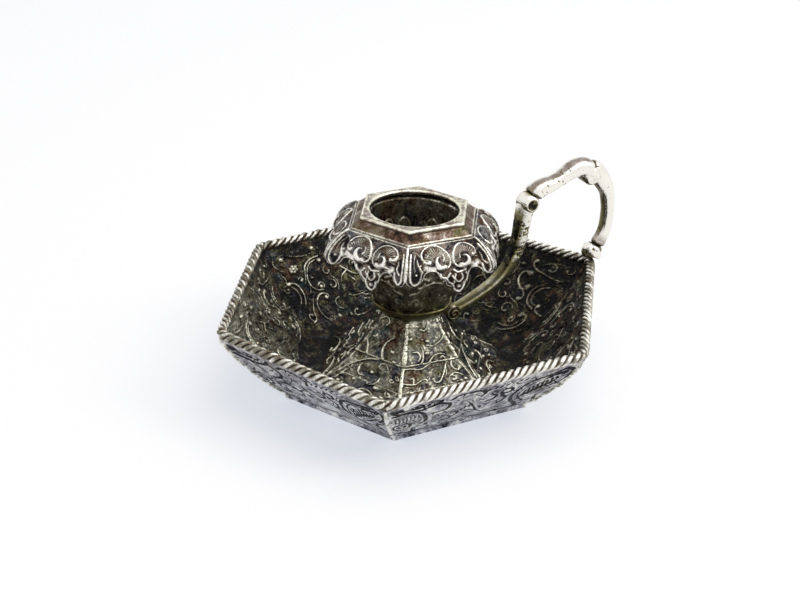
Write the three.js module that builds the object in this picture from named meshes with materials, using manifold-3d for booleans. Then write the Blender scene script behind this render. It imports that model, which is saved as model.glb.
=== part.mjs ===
// Hand candlestick: a six-sided dish of stamped panels with a twisted wire rim, a stepped six-sided stem
// with a candle socket, a lift-off nozzle cover, and a cast handle from the stem to one corner of the rim.
// Millimetres, +Z up. The origin is the centre of the underside. +X points at the handle's corner.
import * as THREE from 'three';
import Module from 'manifold-3d';
import { mergeVertices } from 'three/addons/utils/BufferGeometryUtils.js';

const wasm = await Module();
wasm.setup();

// Clearances
const JOINT_GAP = 0.3; // left between two soldered pieces that are not flat on each other
const NOZZLE_GAP = 0.3; // between the loose nozzle and the socket lip that carries it

// Dish floor and walls
const FLOOR_T = 1.2;
const WALL_T = 1;
const WALL_BULGE = 1.7; // how far a panel swells outwards at half its height
const RIM_Z = 21.3; // height of the rim wire's centreline
// The dish is raised by hand: each corner has its own reach, and its own turn in degrees off a true hexagon.
const FLOOR_REACH = [35.4, 35.4, 34.8, 35.4, 36.4, 34.6];
const FLOOR_TURN = [0, 0.5, -0.5, 0.4, -3.3, 0.8];
const RIM_REACH = [55, 55.2, 50.6, 52.4, 56.5, 51.1];
const RIM_TURN = [0, 1.8, -1.6, -1.2, -3.5, -2.5];

// Twisted rim wire
const WIRE_R = 1.5;
const WIRE_PITCH = 8.4; // four ridges in each turn

// Stem
const STEM_TURN = -4; // degrees off the handle's plane
const SHEET_T = 0.9;
const STEM_FOOT_R = 26; // corner radius on the floor
const STEM_SHOULDER_R = 21.1;
const STEM_SHOULDER_Z = 4.3;
const STEP_R = 15.1; // top of the stem's foot
const STEP_Z = 8.7;
const STEP_LAP = 0.4; // how far the pillar's lower edge stands over the foot
const PILLAR_TOP_R = 7.8;
const PILLAR_TOP_Z = 18.2;
const PILLAR_SAG = 0.5; // how far the pillar's sides draw in at half their height

// Saucer and candle socket
const CUP_ROUND = 0.75; // 0 is a true hexagon, 1 is a circle
const SAUCER_FLOOR_T = 1.5;
const SAUCER_H = 3.4;
const SAUCER_WALL_T = 0.9;
const SOCKET_FOOT_R = 8.4;
const SOCKET_BELLY_R = 14.6;
const SOCKET_BELLY_Z = 36;
const SOCKET_H = 24.7;
const SOCKET_WALL_T = 1.2;
const SEAT_Z = 28.6; // flat floor that the candle stands on, where the socket is wide enough for it
const SEAT_T = 1.2;
const MOUTH_CLEARANCE = 0.5; // between the candle hole above and the socket's mouth
const LIP_W = 1.4; // the socket's lip, which carries the nozzle

// Nozzle
const NOZZLE_TURN = -2.2; // degrees off the handle's plane
const NOZZLE_SHEET_T = 0.8;
const HOLE_R = 11.3; // passes a 22 mm candle
const RING_LAND = 1.7; // the flat ring's width at the middle of each side
const RING_T = 1;
const FLANGE_SETBACK = 0.9; // of the cover's turned-in flange from the hole, under the ring
const BAND_OUT = 2.6; // from the ring's corners out to the crease
const BAND_DROP = 1.9; // from the flange down to the crease
const SKIRT_OUT = 6.7;
const SKIRT_DROP = 8.1;
const SKIRT_CURL = 1.3; // 1 drops evenly, more starts flatter
// The skirt's cut edge: reaches are shares of SKIRT_DROP, places and widths are shares of a side
const NOTCH_DEPTH = 0.16; // at each corner, between two lobes
const NOTCH_WIDTH = 0.035;
const ARCH_DEPTH = 0.28; // arches between the lobes and the middle
const ARCH_AT = 0.26;
const ARCH_WIDTH = 0.09;
const PENDANT_REACH = 0.37; // the drop at the middle of each side
const PENDANT_WIDTH = 0.09;

// Handle, in the plane from the axis to the first corner of the rim
const BAR_T = 4.2; // greatest thickness, in the handle's plane
const BAR_W = 5.4; // greatest width, across it
const VOLUTE_R = 1.9;
const VOLUTE_W = 4.2;
const VOLUTE_Z = 15;
const VOLUTE_OUT = 1.9; // from the pillar's ridge to the eye, so the volute is hollowed to fit the pillar
const KNUCKLE_X = 34.8;
const KNUCKLE_Z = 44.2;
const KNUCKLE_WAY = 52; // degrees up from +X, square to the joint's faces
const SHOULDER_X = 52.1;
const SHOULDER_Z = 48.8;
const SHOULDER_WAY = -24;
const HANDLE_FOOT_H = 2.9;
const HANDLE_FOOT_IN = 0.7; // how far inside the rim's corner it stands
const HANDLE_FOOT_LEAN = 2.1;
const ANKLE_WAY = -119;
// Each shape runs from one end of the bar to the other: share of the way along X, share of the way along Z.
const ARM_SHAPE = [[0, 0], [0.12, 0.03], [0.32, 0.1], [0.53, 0.19], [0.7, 0.31], [0.82, 0.47], [0.87, 0.66],
  [0.9, 0.83], [0.94, 0.93], [1, 1]];
const THUMB_SHAPE = [[0, 0], [0.05, 0.17], [0.15, 0.35], [0.28, 0.46], [0.45, 0.7], [0.65, 1.09],
  [0.85, 1.24], [1, 1]];
const TAIL_SHAPE = [[0, 0], [0.48, 0.05], [0.95, 0.16], [1.41, 0.32], [1.57, 0.47], [1.61, 0.63],
  [1.48, 0.82], [1.23, 0.93], [1, 1]];
// Thickness and width of a bar at even steps along it, in shares of BAR_T and BAR_W
const ARM_SECTION = [[0.62, 0.63], [0.57, 0.7], [0.57, 0.74], [0.76, 0.74], [0.9, 0.8], [1, 0.87], [1.12, 1]];
const THUMB_SECTION = [[1.12, 1], [1, 0.96], [0.8, 0.9], [0.88, 0.95], [1.08, 1.04], [1.1, 1.04]];
const TAIL_SECTION = [[1.1, 1.04], [1, 1], [0.76, 0.96], [0.7, 0.93], [0.68, 0.85], [0.8, 0.8]];
const HANDLE_FOOT_SECTION = [[0.86, 0.8], [1.38, 1.1], [1.3, 1.04]];

const HEX = Math.PI / 3;
const APOTHEM = Math.cos(HEX / 2); // flat to centre of a six-sided ring of corner radius 1

// The rings round the candle hole, each set off from the one inside it
const mouthR = HOLE_R + MOUTH_CLEARANCE;
const lipR = mouthR + LIP_W;
const flangeR = HOLE_R + FLANGE_SETBACK;
const ringR = (HOLE_R + RING_LAND) / APOTHEM;
const creaseR = ringR + BAND_OUT;

// How finely the curved shapes are faceted
const WALL_ROWS = 6;
const WIRE_STEPS_PER_TURN = 8;
const WIRE_SIDES = 4;
const PILLAR_ROWS = 3;
const SAUCER_ROWS = 3;
const SAUCER_STEPS_PER_SIDE = 3;
const SOCKET_ROWS = 7;
const WELL_ROWS = 5;
const SOCKET_FOOT_ROWS = 3;
const SOCKET_STEPS_PER_SIDE = 4;
const SKIRT_ROWS = 5;
const NOZZLE_STEPS_PER_SIDE = 20;
const HOLE_STEPS = 24;
const BAR_SIDES = 10;
const EYE_SIDES = 20;
const ARM_STEPS = 18;
const THUMB_STEPS = 14;
const TAIL_STEPS = 16;
const HANDLE_FOOT_STEPS = 4;

const SILVER = { color: 0xa9a294, roughness: 0.38, metalness: 0.95 };
const DARK_SILVER = { color: 0x5b564e, roughness: 0.45, metalness: 0.9 };
const PALE_SILVER = { color: 0xd9d2c4, roughness: 0.3, metalness: 0.95 };
const OLIVE = { color: 0x6f6544, roughness: 0.45, metalness: 0.9 };

const group = new THREE.Group();

function add(name, geometry, look) {
  const mesh = new THREE.Mesh(geometry, new THREE.MeshStandardMaterial(look));
  mesh.name = name;
  group.add(mesh);
}

/** Joins rings of points, each as long as the last. Without "loop", the end rings are convex end faces. */
function bodyFromRings(rings, loop = false) {
  const count = rings[0].length;
  const positions = rings.flat().flatMap((p) => [p.x, p.y, p.z]);
  const index = [];
  const bands = loop ? rings.length : rings.length - 1;
  for (let i = 0; i < bands; i++) {
    const here = i * count;
    const next = ((i + 1) % rings.length) * count;
    for (let j = 0; j < count; j++) {
      const k = (j + 1) % count;
      index.push(here + j, here + k, next + k, here + j, next + k, next + j);
    }
  }
  if (!loop) {
    const last = (rings.length - 1) * count;
    for (let j = 1; j < count - 1; j++) {
      index.push(0, j + 1, j, last, last + j, last + j + 1);
    }
  }
  const geometry = new THREE.BufferGeometry();
  geometry.setAttribute('position', new THREE.Float32BufferAttribute(positions, 3));
  geometry.setIndex(index);
  return geometry;
}

function toManifold(geometry) {
  const bare = geometry.clone();
  bare.deleteAttribute('normal');
  bare.deleteAttribute('uv');
  const merged = mergeVertices(bare, 1e-5);
  const mesh = new wasm.Mesh({
    numProp: 3,
    vertProperties: Float32Array.from(merged.attributes.position.array),
    triVerts: Uint32Array.from(merged.index.array),
  });
  return new wasm.Manifold(mesh);
}

function fromManifold(solid) {
  const mesh = solid.getMesh();
  const geometry = new THREE.BufferGeometry();
  geometry.setAttribute('position', new THREE.Float32BufferAttribute(mesh.vertProperties, 3));
  geometry.setIndex(new THREE.Uint32BufferAttribute(mesh.triVerts, 1));
  return geometry;
}

const radians = (degrees) => THREE.MathUtils.degToRad(degrees);
const lerp = THREE.MathUtils.lerp;

/** A point of a six-sided ring. round 0 is a true hexagon of corner radius r, and round 1 is its circle. */
function ringPoint([r, z, round = 0], angle, turn) {
  const fromFlat = (((angle % HEX) + HEX) % HEX) - HEX / 2;
  const flat = (r * APOTHEM) / Math.cos(fromFlat);
  const radius = lerp(flat, r, round);
  return new THREE.Vector3(radius * Math.cos(angle + turn), radius * Math.sin(angle + turn), z);
}

/** A sheet's outer profile, running outwards and down, moved inwards by its thickness with mitred corners. */
function inset(profile, thickness) {
  return profile.map(([r, z, round = 0], i) => {
    const a = profile[Math.max(i - 1, 0)];
    const b = profile[Math.min(i + 1, profile.length - 1)];
    const here = new THREE.Vector2(r, z);
    const before = new THREE.Vector2(r - a[0], z - a[1]);
    const after = new THREE.Vector2(b[0] - r, b[1] - z);
    if (before.length() === 0) before.copy(after);
    if (after.length() === 0) after.copy(before);
    const n1 = new THREE.Vector2(-before.y, before.x).normalize();
    const n2 = new THREE.Vector2(-after.y, after.x).normalize();
    const mid = n1.clone().add(n2).normalize();
    const reach = thickness / mid.dot(n1);
    const side = lerp(APOTHEM, 1, round);
    return [here.x - (mid.x * reach) / side, here.y - mid.y * reach, round];
  });
}

/** Sweeps a closed profile loop round the axis. loopAt gives the loop at an angle. */
function sixSided(loopAt, stepsPerSide, turn) {
  const steps = 6 * stepsPerSide;
  const rings = [];
  for (let i = 0; i < steps; i++) {
    const angle = (i * 2 * Math.PI) / steps;
    rings.push(loopAt(angle).map((p) => ringPoint(p, angle, turn)));
  }
  return bodyFromRings(rings, true);
}

// Dish

function dishCorner(k, reaches, turns, z) {
  const angle = k * HEX + radians(turns[k % 6]);
  const reach = reaches[k % 6];
  return new THREE.Vector3(reach * Math.cos(angle), reach * Math.sin(angle), z);
}

const floorCorner = (k) => dishCorner(k, FLOOR_REACH, FLOOR_TURN, FLOOR_T);
const rimCorner = (k) => dishCorner(k, RIM_REACH, RIM_TURN, RIM_Z);
const WALL_TOP_Z = RIM_Z - WIRE_R - JOINT_GAP;

function floorPlate() {
  const shape = new THREE.Shape();
  for (let k = 0; k < 6; k++) {
    const { x, y } = floorCorner(k);
    if (k === 0) shape.moveTo(x, y);
    else shape.lineTo(x, y);
  }
  return new THREE.ExtrudeGeometry(shape, { depth: FLOOR_T, bevelEnabled: false });
}

/** The dish corner k at share t of the wall's height, on the outer face or "depth" inside it. */
function wallCorner(k, t, depth) {
  const foot = floorCorner(k);
  const top = rimCorner(k).setZ(WALL_TOP_Z);
  const out = top.clone().sub(foot).setZ(0);
  const run = out.length() * APOTHEM;
  const rise = WALL_TOP_Z - FLOOR_T;
  const slope = Math.hypot(run, rise);
  out.normalize();
  const point = foot.clone().lerp(top, t);
  const bulge = WALL_BULGE * 4 * t * (1 - t);
  const away = (bulge * rise) / slope / APOTHEM;
  point.addScaledVector(out, away - (depth * slope) / rise / APOTHEM);
  return point;
}

/** A panel's rings lie level, from the floor up: along the outer face, then back along the inner one. */
function wallPanel(k) {
  const edge = (t, depth) => {
    const a = wallCorner(k, t, depth);
    const b = wallCorner(k + 1, t, depth);
    const trim = JOINT_GAP / 2 / a.distanceTo(b);
    return [a.clone().lerp(b, trim), b.clone().lerp(a, trim)];
  };
  const rings = [];
  for (let j = 0; j <= WALL_ROWS; j++) {
    const t = j / WALL_ROWS;
    rings.push([...edge(t, 0), ...edge(t, WALL_T).reverse()]);
  }
  return bodyFromRings(rings);
}

function rimWire(k) {
  const a = rimCorner(k);
  const b = rimCorner(k + 1);
  const along = b.clone().sub(a).normalize();
  const trim = WIRE_R * Math.tan(HEX / 2) + JOINT_GAP;
  a.addScaledVector(along, trim);
  b.addScaledVector(along, -trim);
  const length = a.distanceTo(b);
  const side = new THREE.Vector3(0, 0, 1).cross(along);
  const steps = Math.round((length / WIRE_PITCH) * WIRE_STEPS_PER_TURN);
  const rings = [];
  for (let i = 0; i <= steps; i++) {
    const turn = (-2 * Math.PI * (length * i)) / steps / WIRE_PITCH;
    const centre = a.clone().lerp(b, i / steps);
    const ring = [];
    for (let j = 0; j < WIRE_SIDES; j++) {
      const angle = turn + (2 * Math.PI * j) / WIRE_SIDES;
      ring.push(
        centre.clone()
          .addScaledVector(side, WIRE_R * Math.cos(angle))
          .add(new THREE.Vector3(0, 0, WIRE_R * Math.sin(angle))),
      );
    }
    rings.push(ring);
  }
  return bodyFromRings(rings);
}

// Stem

const stemTurn = radians(STEM_TURN);

/** A sheet ring with its inner face and its level edges: the outer profile runs from the top down. */
function sheetLoop(profile, thickness) {
  const inner = inset(profile, thickness);
  inner[0][1] = profile[0][1];
  inner[inner.length - 1][1] = profile[profile.length - 1][1];
  return [...profile, ...inner.reverse()];
}

const stemFootProfile = [
  [STEP_R, STEP_Z],
  [STEM_SHOULDER_R, STEM_SHOULDER_Z],
  [STEM_FOOT_R, FLOOR_T],
];

const pillarBottomR = STEP_R + STEP_LAP;

function pillarRadius(z) {
  const share = (z - STEP_Z) / (PILLAR_TOP_Z - STEP_Z);
  return lerp(pillarBottomR, PILLAR_TOP_R, share) - PILLAR_SAG * 4 * share * (1 - share);
}

const pillarProfile = [];
for (let i = 0; i <= PILLAR_ROWS; i++) {
  const z = lerp(PILLAR_TOP_Z, STEP_Z, i / PILLAR_ROWS);
  pillarProfile.push([pillarRadius(z), z]);
}

// Saucer and socket

/** Like a lathe, but with rounded six-sided rings. Flat faces close the first and the last ring. */
function roundedCup(profile, stepsPerSide) {
  const steps = 6 * stepsPerSide;
  const rings = profile.map(([r, z]) => {
    const ring = [];
    for (let i = 0; i < steps; i++) {
      const angle = (i * 2 * Math.PI) / steps;
      ring.push(ringPoint([r, z, CUP_ROUND], angle, stemTurn));
    }
    return ring;
  });
  return bodyFromRings(rings);
}

const saucerFloorZ = PILLAR_TOP_Z + SAUCER_FLOOR_T;
const socketTopZ = saucerFloorZ + SOCKET_H;

/** Radius of the socket's outer face: a quarter of a sine wave up to the belly, then in to the lip. */
function socketRadius(z) {
  if (z > SOCKET_BELLY_Z) {
    const share = (z - SOCKET_BELLY_Z) / (socketTopZ - SOCKET_BELLY_Z);
    return lerp(SOCKET_BELLY_R, lipR, Math.pow(share, 2));
  }
  const share = (z - saucerFloorZ) / (SOCKET_BELLY_Z - saucerFloorZ);
  return lerp(SOCKET_FOOT_R, SOCKET_BELLY_R, Math.sin((share * Math.PI) / 2));
}

/** One sheet shell: open underneath at its foot, with the candle's seat as a floor across it. */
function socketCup() {
  const innerRadius = (z) => socketRadius(z) - SOCKET_WALL_T;
  const foot = [];
  for (let i = 0; i <= SOCKET_FOOT_ROWS; i++) {
    const z = lerp(SEAT_Z - SEAT_T, saucerFloorZ, i / SOCKET_FOOT_ROWS);
    foot.push([innerRadius(z), z]);
  }
  const outer = [];
  for (let i = 0; i <= SOCKET_ROWS; i++) {
    const z = lerp(saucerFloorZ, socketTopZ, i / SOCKET_ROWS);
    outer.push([socketRadius(z), z]);
  }
  const well = [];
  for (let i = 0; i <= WELL_ROWS; i++) {
    const share = i / WELL_ROWS;
    const z = lerp(socketTopZ, SEAT_Z, share);
    well.push([lerp(mouthR, innerRadius(z), share), z]);
  }
  return roundedCup([...foot, ...outer, ...well], SOCKET_STEPS_PER_SIDE);
}

/** A shallow cup whose inner face follows the socket that stands in it. */
function saucer() {
  const top = PILLAR_TOP_Z + SAUCER_H;
  const inner = [];
  for (let i = 0; i <= SAUCER_ROWS; i++) {
    const z = lerp(top, saucerFloorZ, i / SAUCER_ROWS);
    inner.push([socketRadius(z) + JOINT_GAP, z]);
  }
  const lip = inner[0][0] + SAUCER_WALL_T;
  const outer = [];
  for (let i = 0; i <= SAUCER_ROWS; i++) {
    const share = i / SAUCER_ROWS;
    outer.push([lerp(PILLAR_TOP_R, lip, Math.sin((share * Math.PI) / 2)), lerp(PILLAR_TOP_Z, top, share)]);
  }
  return roundedCup([...outer, ...inner], SAUCER_STEPS_PER_SIDE);
}

// Nozzle

const nozzleTurn = radians(NOZZLE_TURN);
const flangeTopZ = socketTopZ + NOZZLE_GAP + NOZZLE_SHEET_T;
const ringTopZ = flangeTopZ + RING_T;
const creaseZ = flangeTopZ - BAND_DROP;

/** How far the skirt reaches at a share of the way along a side: corner notch, lobes, arches and a middle drop. */
function scallop(side) {
  const fromCorner = Math.min(side, 1 - side);
  const hump = (middle, width) => Math.exp(-(((fromCorner - middle) / width) ** 2));
  const notch = NOTCH_DEPTH * hump(0, NOTCH_WIDTH);
  const arch = ARCH_DEPTH * hump(ARCH_AT, ARCH_WIDTH);
  return 1 - notch - arch + PENDANT_REACH * hump(0.5, PENDANT_WIDTH);
}

function canopyLoop(angle) {
  const side = ((angle / HEX) % 1 + 1) % 1;
  const reach = scallop(side);
  const profile = [[flangeR, flangeTopZ, 1], [ringR, flangeTopZ, 0], [creaseR, creaseZ, 0]];
  for (let i = 1; i <= SKIRT_ROWS; i++) {
    const s = (reach * i) / SKIRT_ROWS;
    const out = SKIRT_OUT * Math.sin((Math.min(s, 1) * Math.PI) / 2);
    profile.push([creaseR + out, creaseZ - SKIRT_DROP * Math.pow(s, SKIRT_CURL), 0]);
  }
  return [...profile, ...inset(profile, NOZZLE_SHEET_T).reverse()];
}

function nozzleRing() {
  const shape = new THREE.Shape();
  for (let k = 0; k < 6; k++) {
    const x = ringR * Math.cos(k * HEX + nozzleTurn);
    const y = ringR * Math.sin(k * HEX + nozzleTurn);
    if (k === 0) shape.moveTo(x, y);
    else shape.lineTo(x, y);
  }
  const hole = new THREE.Path();
  hole.absarc(0, 0, HOLE_R, 0, 2 * Math.PI, true);
  shape.holes.push(hole);
  const flat = { depth: RING_T, bevelEnabled: false, curveSegments: HOLE_STEPS };
  return new THREE.ExtrudeGeometry(shape, flat).translate(0, 0, flangeTopZ);
}

// Handle

/** A direction in the handle's plane, in degrees up from +X. */
function way(degrees) {
  return new THREE.Vector3(Math.cos(radians(degrees)), 0, Math.sin(radians(degrees)));
}

/** A cast bar in the handle's plane: ovals along a smooth curve, with its end faces square to the ways. */
function castBar(start, end, startWay, endWay, shape, section, steps) {
  const points = shape.map(([u, w]) => {
    return new THREE.Vector3(lerp(start.x, end.x, u), 0, lerp(start.z, end.z, w));
  });
  const curve = new THREE.CatmullRomCurve3(points);
  const rings = [];
  for (let i = 0; i <= steps; i++) {
    const share = i / steps;
    const centre = curve.getPointAt(share);
    let along = curve.getTangentAt(share);
    if (i === 0) along = startWay;
    if (i === steps) along = endWay;
    const across = new THREE.Vector3(-along.z, 0, along.x);
    const place = share * (section.length - 1);
    const low = Math.min(Math.floor(place), section.length - 2);
    const thick = (BAR_T / 2) * lerp(section[low][0], section[low + 1][0], place - low);
    const wide = (BAR_W / 2) * lerp(section[low][1], section[low + 1][1], place - low);
    const ring = [];
    for (let j = 0; j < BAR_SIDES; j++) {
      const angle = (2 * Math.PI * j) / BAR_SIDES;
      ring.push(
        centre.clone()
          .addScaledVector(across, thick * Math.cos(angle))
          .add(new THREE.Vector3(0, -wide * Math.sin(angle), 0)),
      );
    }
    rings.push(ring);
  }
  return bodyFromRings(rings);
}

const volute = new THREE.Vector3(pillarRadius(VOLUTE_Z) + VOLUTE_OUT, 0, VOLUTE_Z);
const knuckle = new THREE.Vector3(KNUCKLE_X, 0, KNUCKLE_Z);
const shoulder = new THREE.Vector3(SHOULDER_X, 0, SHOULDER_Z);
const footBottom = new THREE.Vector3(rimCorner(0).x - HANDLE_FOOT_IN, 0, RIM_Z + WIRE_R + JOINT_GAP);
const footTop = footBottom.clone().add(new THREE.Vector3(HANDLE_FOOT_LEAN, 0, HANDLE_FOOT_H));

const knuckleWay = way(KNUCKLE_WAY);
const shoulderWay = way(SHOULDER_WAY);
const ankleWay = way(ANKLE_WAY);

/** The same joint seen from the bar beyond it, which starts one gap further on. */
function beyond(joint, jointWay) {
  return joint.clone().addScaledVector(jointWay, JOINT_GAP);
}

function handleArm() {
  const bar = castBar(volute, knuckle, way(0), knuckleWay, ARM_SHAPE, ARM_SECTION, ARM_STEPS);
  const eye = new THREE.CylinderGeometry(VOLUTE_R, VOLUTE_R, VOLUTE_W, EYE_SIDES);
  eye.translate(volute.x, 0, volute.z);
  const pillar = bodyFromRings(
    pillarProfile.map(([r, z]) => {
      const ring = [];
      for (let k = 0; k < 6; k++) ring.push(ringPoint([r + JOINT_GAP / APOTHEM, z], k * HEX, stemTurn));
      return ring;
    }).reverse(),
  );
  return fromManifold(toManifold(bar).add(toManifold(eye)).subtract(toManifold(pillar)));
}

function handleThumbRest() {
  const start = beyond(knuckle, knuckleWay);
  return castBar(start, shoulder, knuckleWay, shoulderWay, THUMB_SHAPE, THUMB_SECTION, THUMB_STEPS);
}

function handleTail() {
  const start = beyond(shoulder, shoulderWay);
  return castBar(start, footTop, shoulderWay, ankleWay, TAIL_SHAPE, TAIL_SECTION, TAIL_STEPS);
}

function handleFoot() {
  const start = beyond(footTop, ankleWay);
  const straight = [[0, 0], [0.5, 0.5], [1, 1]];
  return castBar(start, footBottom, ankleWay, way(-90), straight, HANDLE_FOOT_SECTION, HANDLE_FOOT_STEPS);
}

add('base_plate', floorPlate(), SILVER);
for (let k = 0; k < 6; k++) add(`wall_panel_${k + 1}`, wallPanel(k), DARK_SILVER);
for (let k = 0; k < 6; k++) add(`rim_wire_${k + 1}`, rimWire(k), PALE_SILVER);
add('stem_foot', sixSided(() => sheetLoop(stemFootProfile, SHEET_T), 1, stemTurn), SILVER);
add('stem_pillar', sixSided(() => sheetLoop(pillarProfile, SHEET_T), 1, stemTurn), SILVER);
add('stem_saucer', saucer(), OLIVE);
add('candle_socket', socketCup(), DARK_SILVER);
add('handle_arm', handleArm(), PALE_SILVER);
add('handle_thumb_rest', handleThumbRest(), PALE_SILVER);
add('handle_tail', handleTail(), PALE_SILVER);
add('handle_foot', handleFoot(), PALE_SILVER);
add('nozzle_canopy', sixSided(canopyLoop, NOZZLE_STEPS_PER_SIDE, nozzleTurn), SILVER);
add('nozzle_ring', nozzleRing(), PALE_SILVER);

export default group;
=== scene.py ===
"""Dresses the hand candlestick: embossed and tarnished silver, twisted rim ropes and a cast handle.

Every new piece is a surface worked out with numpy in millimetres, in the part's own frame, and put into
Blender in metres. The same few sizes as in the part's source place each surface.
"""

import math

import bpy
import numpy as np
from bpy.props import FloatProperty, FloatVectorProperty, PointerProperty
from mathutils import Matrix, Vector


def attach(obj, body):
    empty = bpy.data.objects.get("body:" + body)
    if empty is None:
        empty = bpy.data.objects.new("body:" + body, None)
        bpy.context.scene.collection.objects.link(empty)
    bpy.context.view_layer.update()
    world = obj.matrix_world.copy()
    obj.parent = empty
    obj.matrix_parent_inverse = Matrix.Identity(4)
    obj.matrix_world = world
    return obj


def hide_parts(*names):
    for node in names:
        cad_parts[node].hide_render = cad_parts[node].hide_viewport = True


bl_info = {
    "name": "Hand candlestick",
    "version": (1, 0, 0),
    "blender": (4, 5, 0),
    "location": "3D View > Sidebar > Candlestick",
    "description": "Builds the surfaces, finishes and stage of a tarnished silver hand candlestick",
    "category": "Object",
}

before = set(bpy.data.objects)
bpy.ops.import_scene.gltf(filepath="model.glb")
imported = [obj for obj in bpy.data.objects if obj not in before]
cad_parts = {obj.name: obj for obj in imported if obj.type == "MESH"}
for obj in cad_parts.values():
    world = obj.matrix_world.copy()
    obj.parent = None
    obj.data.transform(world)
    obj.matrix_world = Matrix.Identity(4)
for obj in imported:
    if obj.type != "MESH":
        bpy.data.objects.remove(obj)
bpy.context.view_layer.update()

MM = 0.001
HEX = math.pi / 3
APOTHEM = math.cos(HEX / 2)
SIDES = 6
UP = np.array([0, 0, 1.0])
LEVEL = np.array([1.0, 1.0, 0])  # leaves out what rises

# Dish, in millimetres and degrees
FLOOR_T = 1.2
WALL_T = 1.0
WALL_BULGE = 1.7
RIM_Z = 21.3
WALL_TOP_Z = 19.5
JOINT_GAP = 0.3
FLOOR_REACH = (35.4, 35.4, 34.8, 35.4, 36.4, 34.6)
FLOOR_TURN = (0, 0.5, -0.5, 0.4, -3.3, 0.8)
RIM_REACH = (55, 55.2, 50.6, 52.4, 56.5, 51.1)
RIM_TURN = (0, 1.8, -1.6, -1.2, -3.5, -2.5)
WIRE_PITCH = 6.6
WIRE_STRANDS = 3
WIRE_TURN_IN = 2.2  # how far from a corner a length begins to turn
WIRE_WEAR_AND_SHADE = (0.84, 0.78, 0.6, 0.62, 0.9, 0.68)  # how bare each length is, darkened on the left by painted shade
# How light each panel is inside, at its first and second corner
WALL_GROUND = ((0.07, 0.1), (0.16, 0.12), (0.22, 0.66), (0.28, 0.14), (0.14, 0.14), (0.19, 0.17))
WALL_LINES = (0.76, 0.95, 1.05, 1, 1, 0.88)  # how bare its raised lines are, as a share of the drawn
RAISED_SHARE = 0.85  # height of the scrolls inside, as a share of the drawn
SUNK_SHARE = 0.6  # the same for the lines outside
SEAM_OUT = 0.95  # how far a corner's solder seam reaches outwards, inwards and to each side
SEAM_IN = 0.7
SEAM_SIDE = 0.6
FILLET_W = 3.8  # how far in from the floor's edge it begins to curve up
FILLET_H = 0.7

# Stem, saucer and socket
STEM_TURN = -4
STEM_FOOT = ((26, 1.2), (21.1, 4.3), (15.1, 8.7))  # radius and height, from the bottom up
STEM_KNEE = 0.42  # share of the foot's drawn height at its middle point
PILLAR_BOTTOM_R = 15.5
PILLAR_TOP_R = 7.8
PILLAR_SAG = 0.5
STEP_Z = 8.7
PILLAR_TOP_Z = 18.2
STEM_SHEET_T = 0.9
STEM_RIDGES = (0.2, 0.2, 0.2, 0.3, 0.85, 0.65)  # how far each corner stands out
STEM_RIDGE_H = 0.42
STEM_RIDGE_W = 0.8
STEM_GROUND = (0.28, 0.22, 0.2, 0.4, 0.34, 0.16)  # how light each side is
PILLAR_LIFT = (0, 0, 0, -0.1, 0.28, 0.1)  # how much barer each side of the pillar gets towards its top
CUP_ROUND = 0.75
SAUCER_TOP_Z = 21.6
CUP_FLOOR_Z = 19.7
SOCKET_FOOT_R = 8.4
SOCKET_BELLY_R = 14.6
SOCKET_BELLY_Z = 36
SOCKET_TOP_Z = 44.4
SOCKET_LIP_R = 13.2
SOCKET_MOUTH_R = 11.8
SOCKET_WALL_T = 1.2
SEAT_Z = 28.6
SAUCER_LIP_R = 0.5
SAUCER_LIP_H = 0.35
SAUCER_LIP_REACH = 0.9  # how far the saucer's lip reaches past the socket and its gap

# Nozzle
NOZZLE_TURN = -2.2
HOLE_R = 11.3
RING_R = 15.011
RING_Z = 45.5
RING_T = 1.0
FLANGE_R = 12.2
CREASE_R = 17.611
CREASE_Z = 43.6
CREASE_LINES = ((CREASE_R - 0.3, 0.16), (CREASE_R + 0.5, 0.12))  # radius and height
CREASE_LINE_W = 0.16
SKIRT_OUT = 6.7
SKIRT_DROP = 8.1
SKIRT_CURL = 1.3
NOZZLE_SHEET_T = 0.8
SKIRT_TOP_V = 16.64  # where the crease lies in the drawn field
SKIRT_V = 11.26  # mm of the drawn field for one depth of the skirt
# The skirt's cut edge along a side, in mm of the drawn field
SKIRT_EDGE = ((0, 7.4), (0.5, 6.2), (1.2, 5.6), (2.2, 5.4), (3, 5.6), (3.7, 6.2), (4.3, 7), (4.7, 8.1),
              (5.6, 8.6), (7, 8.5), (8, 8), (8.3, 7.4), (8.8, 6.3), (9.6, 5.9), (10, 5.2), (10.2, 4.2),
              (10.8, 3.9), (11.4, 3.5), (11.8, 2.7), (12.4, 1.9), (13.2, 1.65), (13.9, 2), (14.4, 2.9),
              (14.6, 4), (15.1, 4.7), (15.3, 6), (15.6, 6.9), (16.2, 7.7), (17, 8), (18, 7.9), (18.7, 7.4),
              (19.2, 6.4), (20, 5.7), (21, 5.5), (21.6, 6.1), (22, 7.4))

# Handle, in its plane: x, z
BAR_T = 4.2
BAR_W = 5.4
BAR_STEP = 0.2
PIT_DEPTH = 0.07  # share of the way to the bar's middle
VOLUTE = (11.85, 15)
VOLUTE_R = 1.9
VOLUTE_W = 4.2
KNUCKLE = (34.8, 44.2)
KNUCKLE_WAY = 52
SHOULDER = (52.1, 48.8)
SHOULDER_WAY = -24
HANDLE_FOOT_TOP = (56.4, 26.0)
HANDLE_FOOT_BOTTOM = (54.3, 23.1)
ANKLE_WAY = -119
# The knuckles' middles, radii, half widths and the radii of their eyes
ARM_KNUCKLE = ((33.5, 42.4), 2.45, 2.88, 1.55)
TAIL_KNUCKLE = ((52, 47.3), 2.5, 2.8, 0)
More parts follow.
